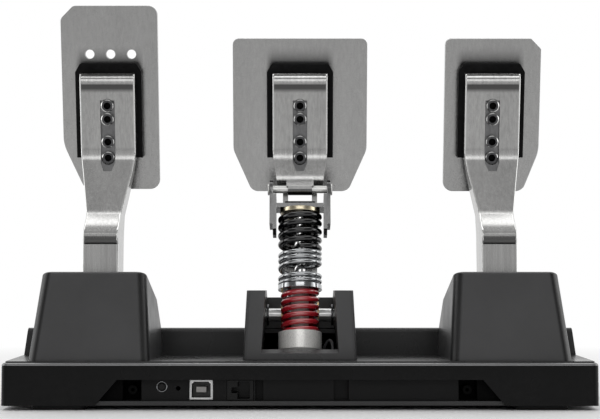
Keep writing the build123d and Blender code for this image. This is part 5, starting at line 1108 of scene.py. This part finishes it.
class PEDALS_OT_stage(bpy.types.Operator):
    """Floor, backdrop, lights, world and camera"""

    bl_idname = "pedals.stage"
    bl_label = "Stage"

    def execute(self, context):
        stage = context.scene.pedal_set.stage
        bpy.ops.object.select_all(action="DESELECT")
        bpy.ops.mesh.primitive_plane_add(size=8, location=(0, 0, 0))
        floor = context.view_layer.objects.active
        floor.name = "floor"
        floor.data.materials.append(self.floor_material())
        self.light("overhead", (0, -0.10, 1.15), (0, 0, 0.05), 1.1, 0.75, stage.top_power)
        for name, side in (("left_strip", 1), ("right_strip", -1)):
            self.light(name, (side * 1.1, 0.0, 0.40), (0, 0.05, 0.12), 0.7, 0.9, stage.side_power)
        self.light("camera_side", (0, 1.7, 0.9), (0, 0, 0.12), 1.4, 0.4, stage.top_power * 0.6)
        self.world(context)
        camera_data = bpy.data.cameras.new("camera")
        camera_data.sensor_width = 36
        camera_data.lens = stage.lens
        camera_data.clip_start = 0.01
        camera = bpy.data.objects.new("camera", camera_data)
        context.scene.collection.objects.link(camera)
        camera.location = (0, stage.distance, stage.height)
        camera.rotation_euler = (math.pi / 2 + stage.pitch, 0, math.pi)
        context.scene.camera = camera
        context.scene.view_settings.view_transform = "Standard"
        return {"FINISHED"}

    def light(self, name, place, target, width, height, power):
        """Rectangular softbox that faces a target."""
        data = bpy.data.lights.new(name, "AREA")
        data.shape = "RECTANGLE"
        data.size = width
        data.size_y = height
        data.energy = power
        lamp = bpy.data.objects.new(name, data)
        bpy.context.scene.collection.objects.link(lamp)
        lamp.location = place
        direction = Vector(target) - Vector(place)
        lamp.rotation_euler = direction.to_track_quat("-Z", "Y").to_euler()

    def floor_material(self):
        """Pale floor that fades to white away from the set."""
        material = bpy.data.materials.new("Studio floor")
        material.use_nodes = True
        tree = material.node_tree
        shader = tree.nodes["Principled BSDF"]
        shader.inputs["Roughness"].default_value = 0.55
        shader.inputs["Specular IOR Level"].default_value = 0.2
        place = tree.nodes.new("ShaderNodeTexCoord")
        tone = add_noise(tree, place.outputs["Object"], 3.0, 2.0)
        tree.links.new(add_mix(tree, tone, (0.86, 0.86, 0.86), (0.9, 0.9, 0.9)), shader.inputs["Base Color"])
        length = tree.nodes.new("ShaderNodeVectorMath")
        length.operation = "LENGTH"
        tree.links.new(place.outputs["Object"], length.inputs[0])
        stage = bpy.context.scene.pedal_set.stage
        away = add_range(tree, length.outputs["Value"], stage.fade_start, stage.fade_end)
        path = tree.nodes.new("ShaderNodeLightPath")
        shown = add_math(tree, "MAXIMUM", path.outputs["Is Camera Ray"], path.outputs["Is Transmission Ray"])
        white = tree.nodes.new("ShaderNodeEmission")
        blend = tree.nodes.new("ShaderNodeMixShader")
        tree.links.new(add_math(tree, "MULTIPLY", away, shown), blend.inputs["Fac"])
        tree.links.new(shader.outputs["BSDF"], blend.inputs[1])
        tree.links.new(white.outputs["Emission"], blend.inputs[2])
        tree.links.new(blend.outputs["Shader"], tree.nodes["Material Output"].inputs["Surface"])
        return material

    def world(self, context):
        """White to the camera, levels set by direction to metal, dimmer as a light."""
        world = bpy.data.worlds.new("Studio")
        context.scene.world = world
        world.use_nodes = True
        tree = world.node_tree
        background = tree.nodes["Background"]
        background.inputs["Color"].default_value = (1, 1, 1, 1)
        stage = context.scene.pedal_set.stage
        path = tree.nodes.new("ShaderNodeLightPath")
        place = tree.nodes.new("ShaderNodeTexCoord")
        split = tree.nodes.new("ShaderNodeSeparateXYZ")
        tree.links.new(place.outputs["Generated"], split.inputs["Vector"])
        far_side = add_range(tree, split.outputs["Y"], 0.12, -0.15, stage.near_reflection, 1.0)
        behind = add_range(tree, split.outputs["Y"], 0.84, 0.95, 0.0, stage.camera_box)
        above = add_range(tree, split.outputs["Z"], 0.3, 0.55, 0.0, stage.above_camera)
        narrow = add_range(tree, add_math(tree, "ABSOLUTE", split.outputs["X"]), 0.6, 0.3)
        above = add_math(tree, "MULTIPLY", above, narrow)
        far_side = add_math(tree, "MAXIMUM", add_math(tree, "MAXIMUM", far_side, behind), above)
        beside = add_range(tree, add_math(tree, "ABSOLUTE", split.outputs["X"]), 0.82, 0.9, 0.0, stage.side_panels)
        far_side = add_math(tree, "MAXIMUM", far_side, beside)
        seen = add_math(tree, "MAXIMUM", path.outputs["Is Camera Ray"], path.outputs["Is Transmission Ray"])
        level = add_range(tree, path.outputs["Is Glossy Ray"], 0.0, 1.0, stage.fill, far_side)
        tree.links.new(add_range(tree, seen, 0.0, 1.0, level, 1.0), background.inputs["Strength"])


class PEDALS_PT_panel(bpy.types.Panel):
    """Lists the pieces of the pedal set"""

    bl_idname = "PEDALS_PT_panel"
    bl_label = "Three-pedal set"
    bl_space_type = "VIEW_3D"
    bl_region_type = "UI"
    bl_category = "Pedals"

    def draw(self, context):
        settings = context.scene.pedal_set
        for operator in OPERATORS:
            self.layout.operator(operator.bl_idname)
        for group in (settings.colours, settings.sizes, settings.stage):
            box = self.layout.box()
            for key in group.__annotations__:
                box.prop(group, key)


OPERATORS = (
    PEDALS_OT_finishes,
    PEDALS_OT_base,
    PEDALS_OT_recess,
    PEDALS_OT_hoods,
    PEDALS_OT_plates,
    PEDALS_OT_arms,
    PEDALS_OT_pivots,
    PEDALS_OT_strut,
    PEDALS_OT_load_cell,
    PEDALS_OT_stage,
)
CLASSES = (PedalColours, PedalSizes, PedalStage, PedalSettings) + OPERATORS + (PEDALS_PT_panel,)


def register():
    """Registers the classes and the settings."""
    for item in CLASSES:
        bpy.utils.register_class(item)
    bpy.types.Scene.pedal_set = bpy.props.PointerProperty(type=PedalSettings)


def unregister():
    """Removes the settings and the classes."""
    del bpy.types.Scene.pedal_set
    for item in reversed(CLASSES):
        bpy.utils.unregister_class(item)


def main():
    """Builds every piece."""
    register()
    for operator in OPERATORS:
        group, name = operator.bl_idname.split(".")
        getattr(getattr(bpy.ops, group), name)()


if __name__ == "__main__":
    main()
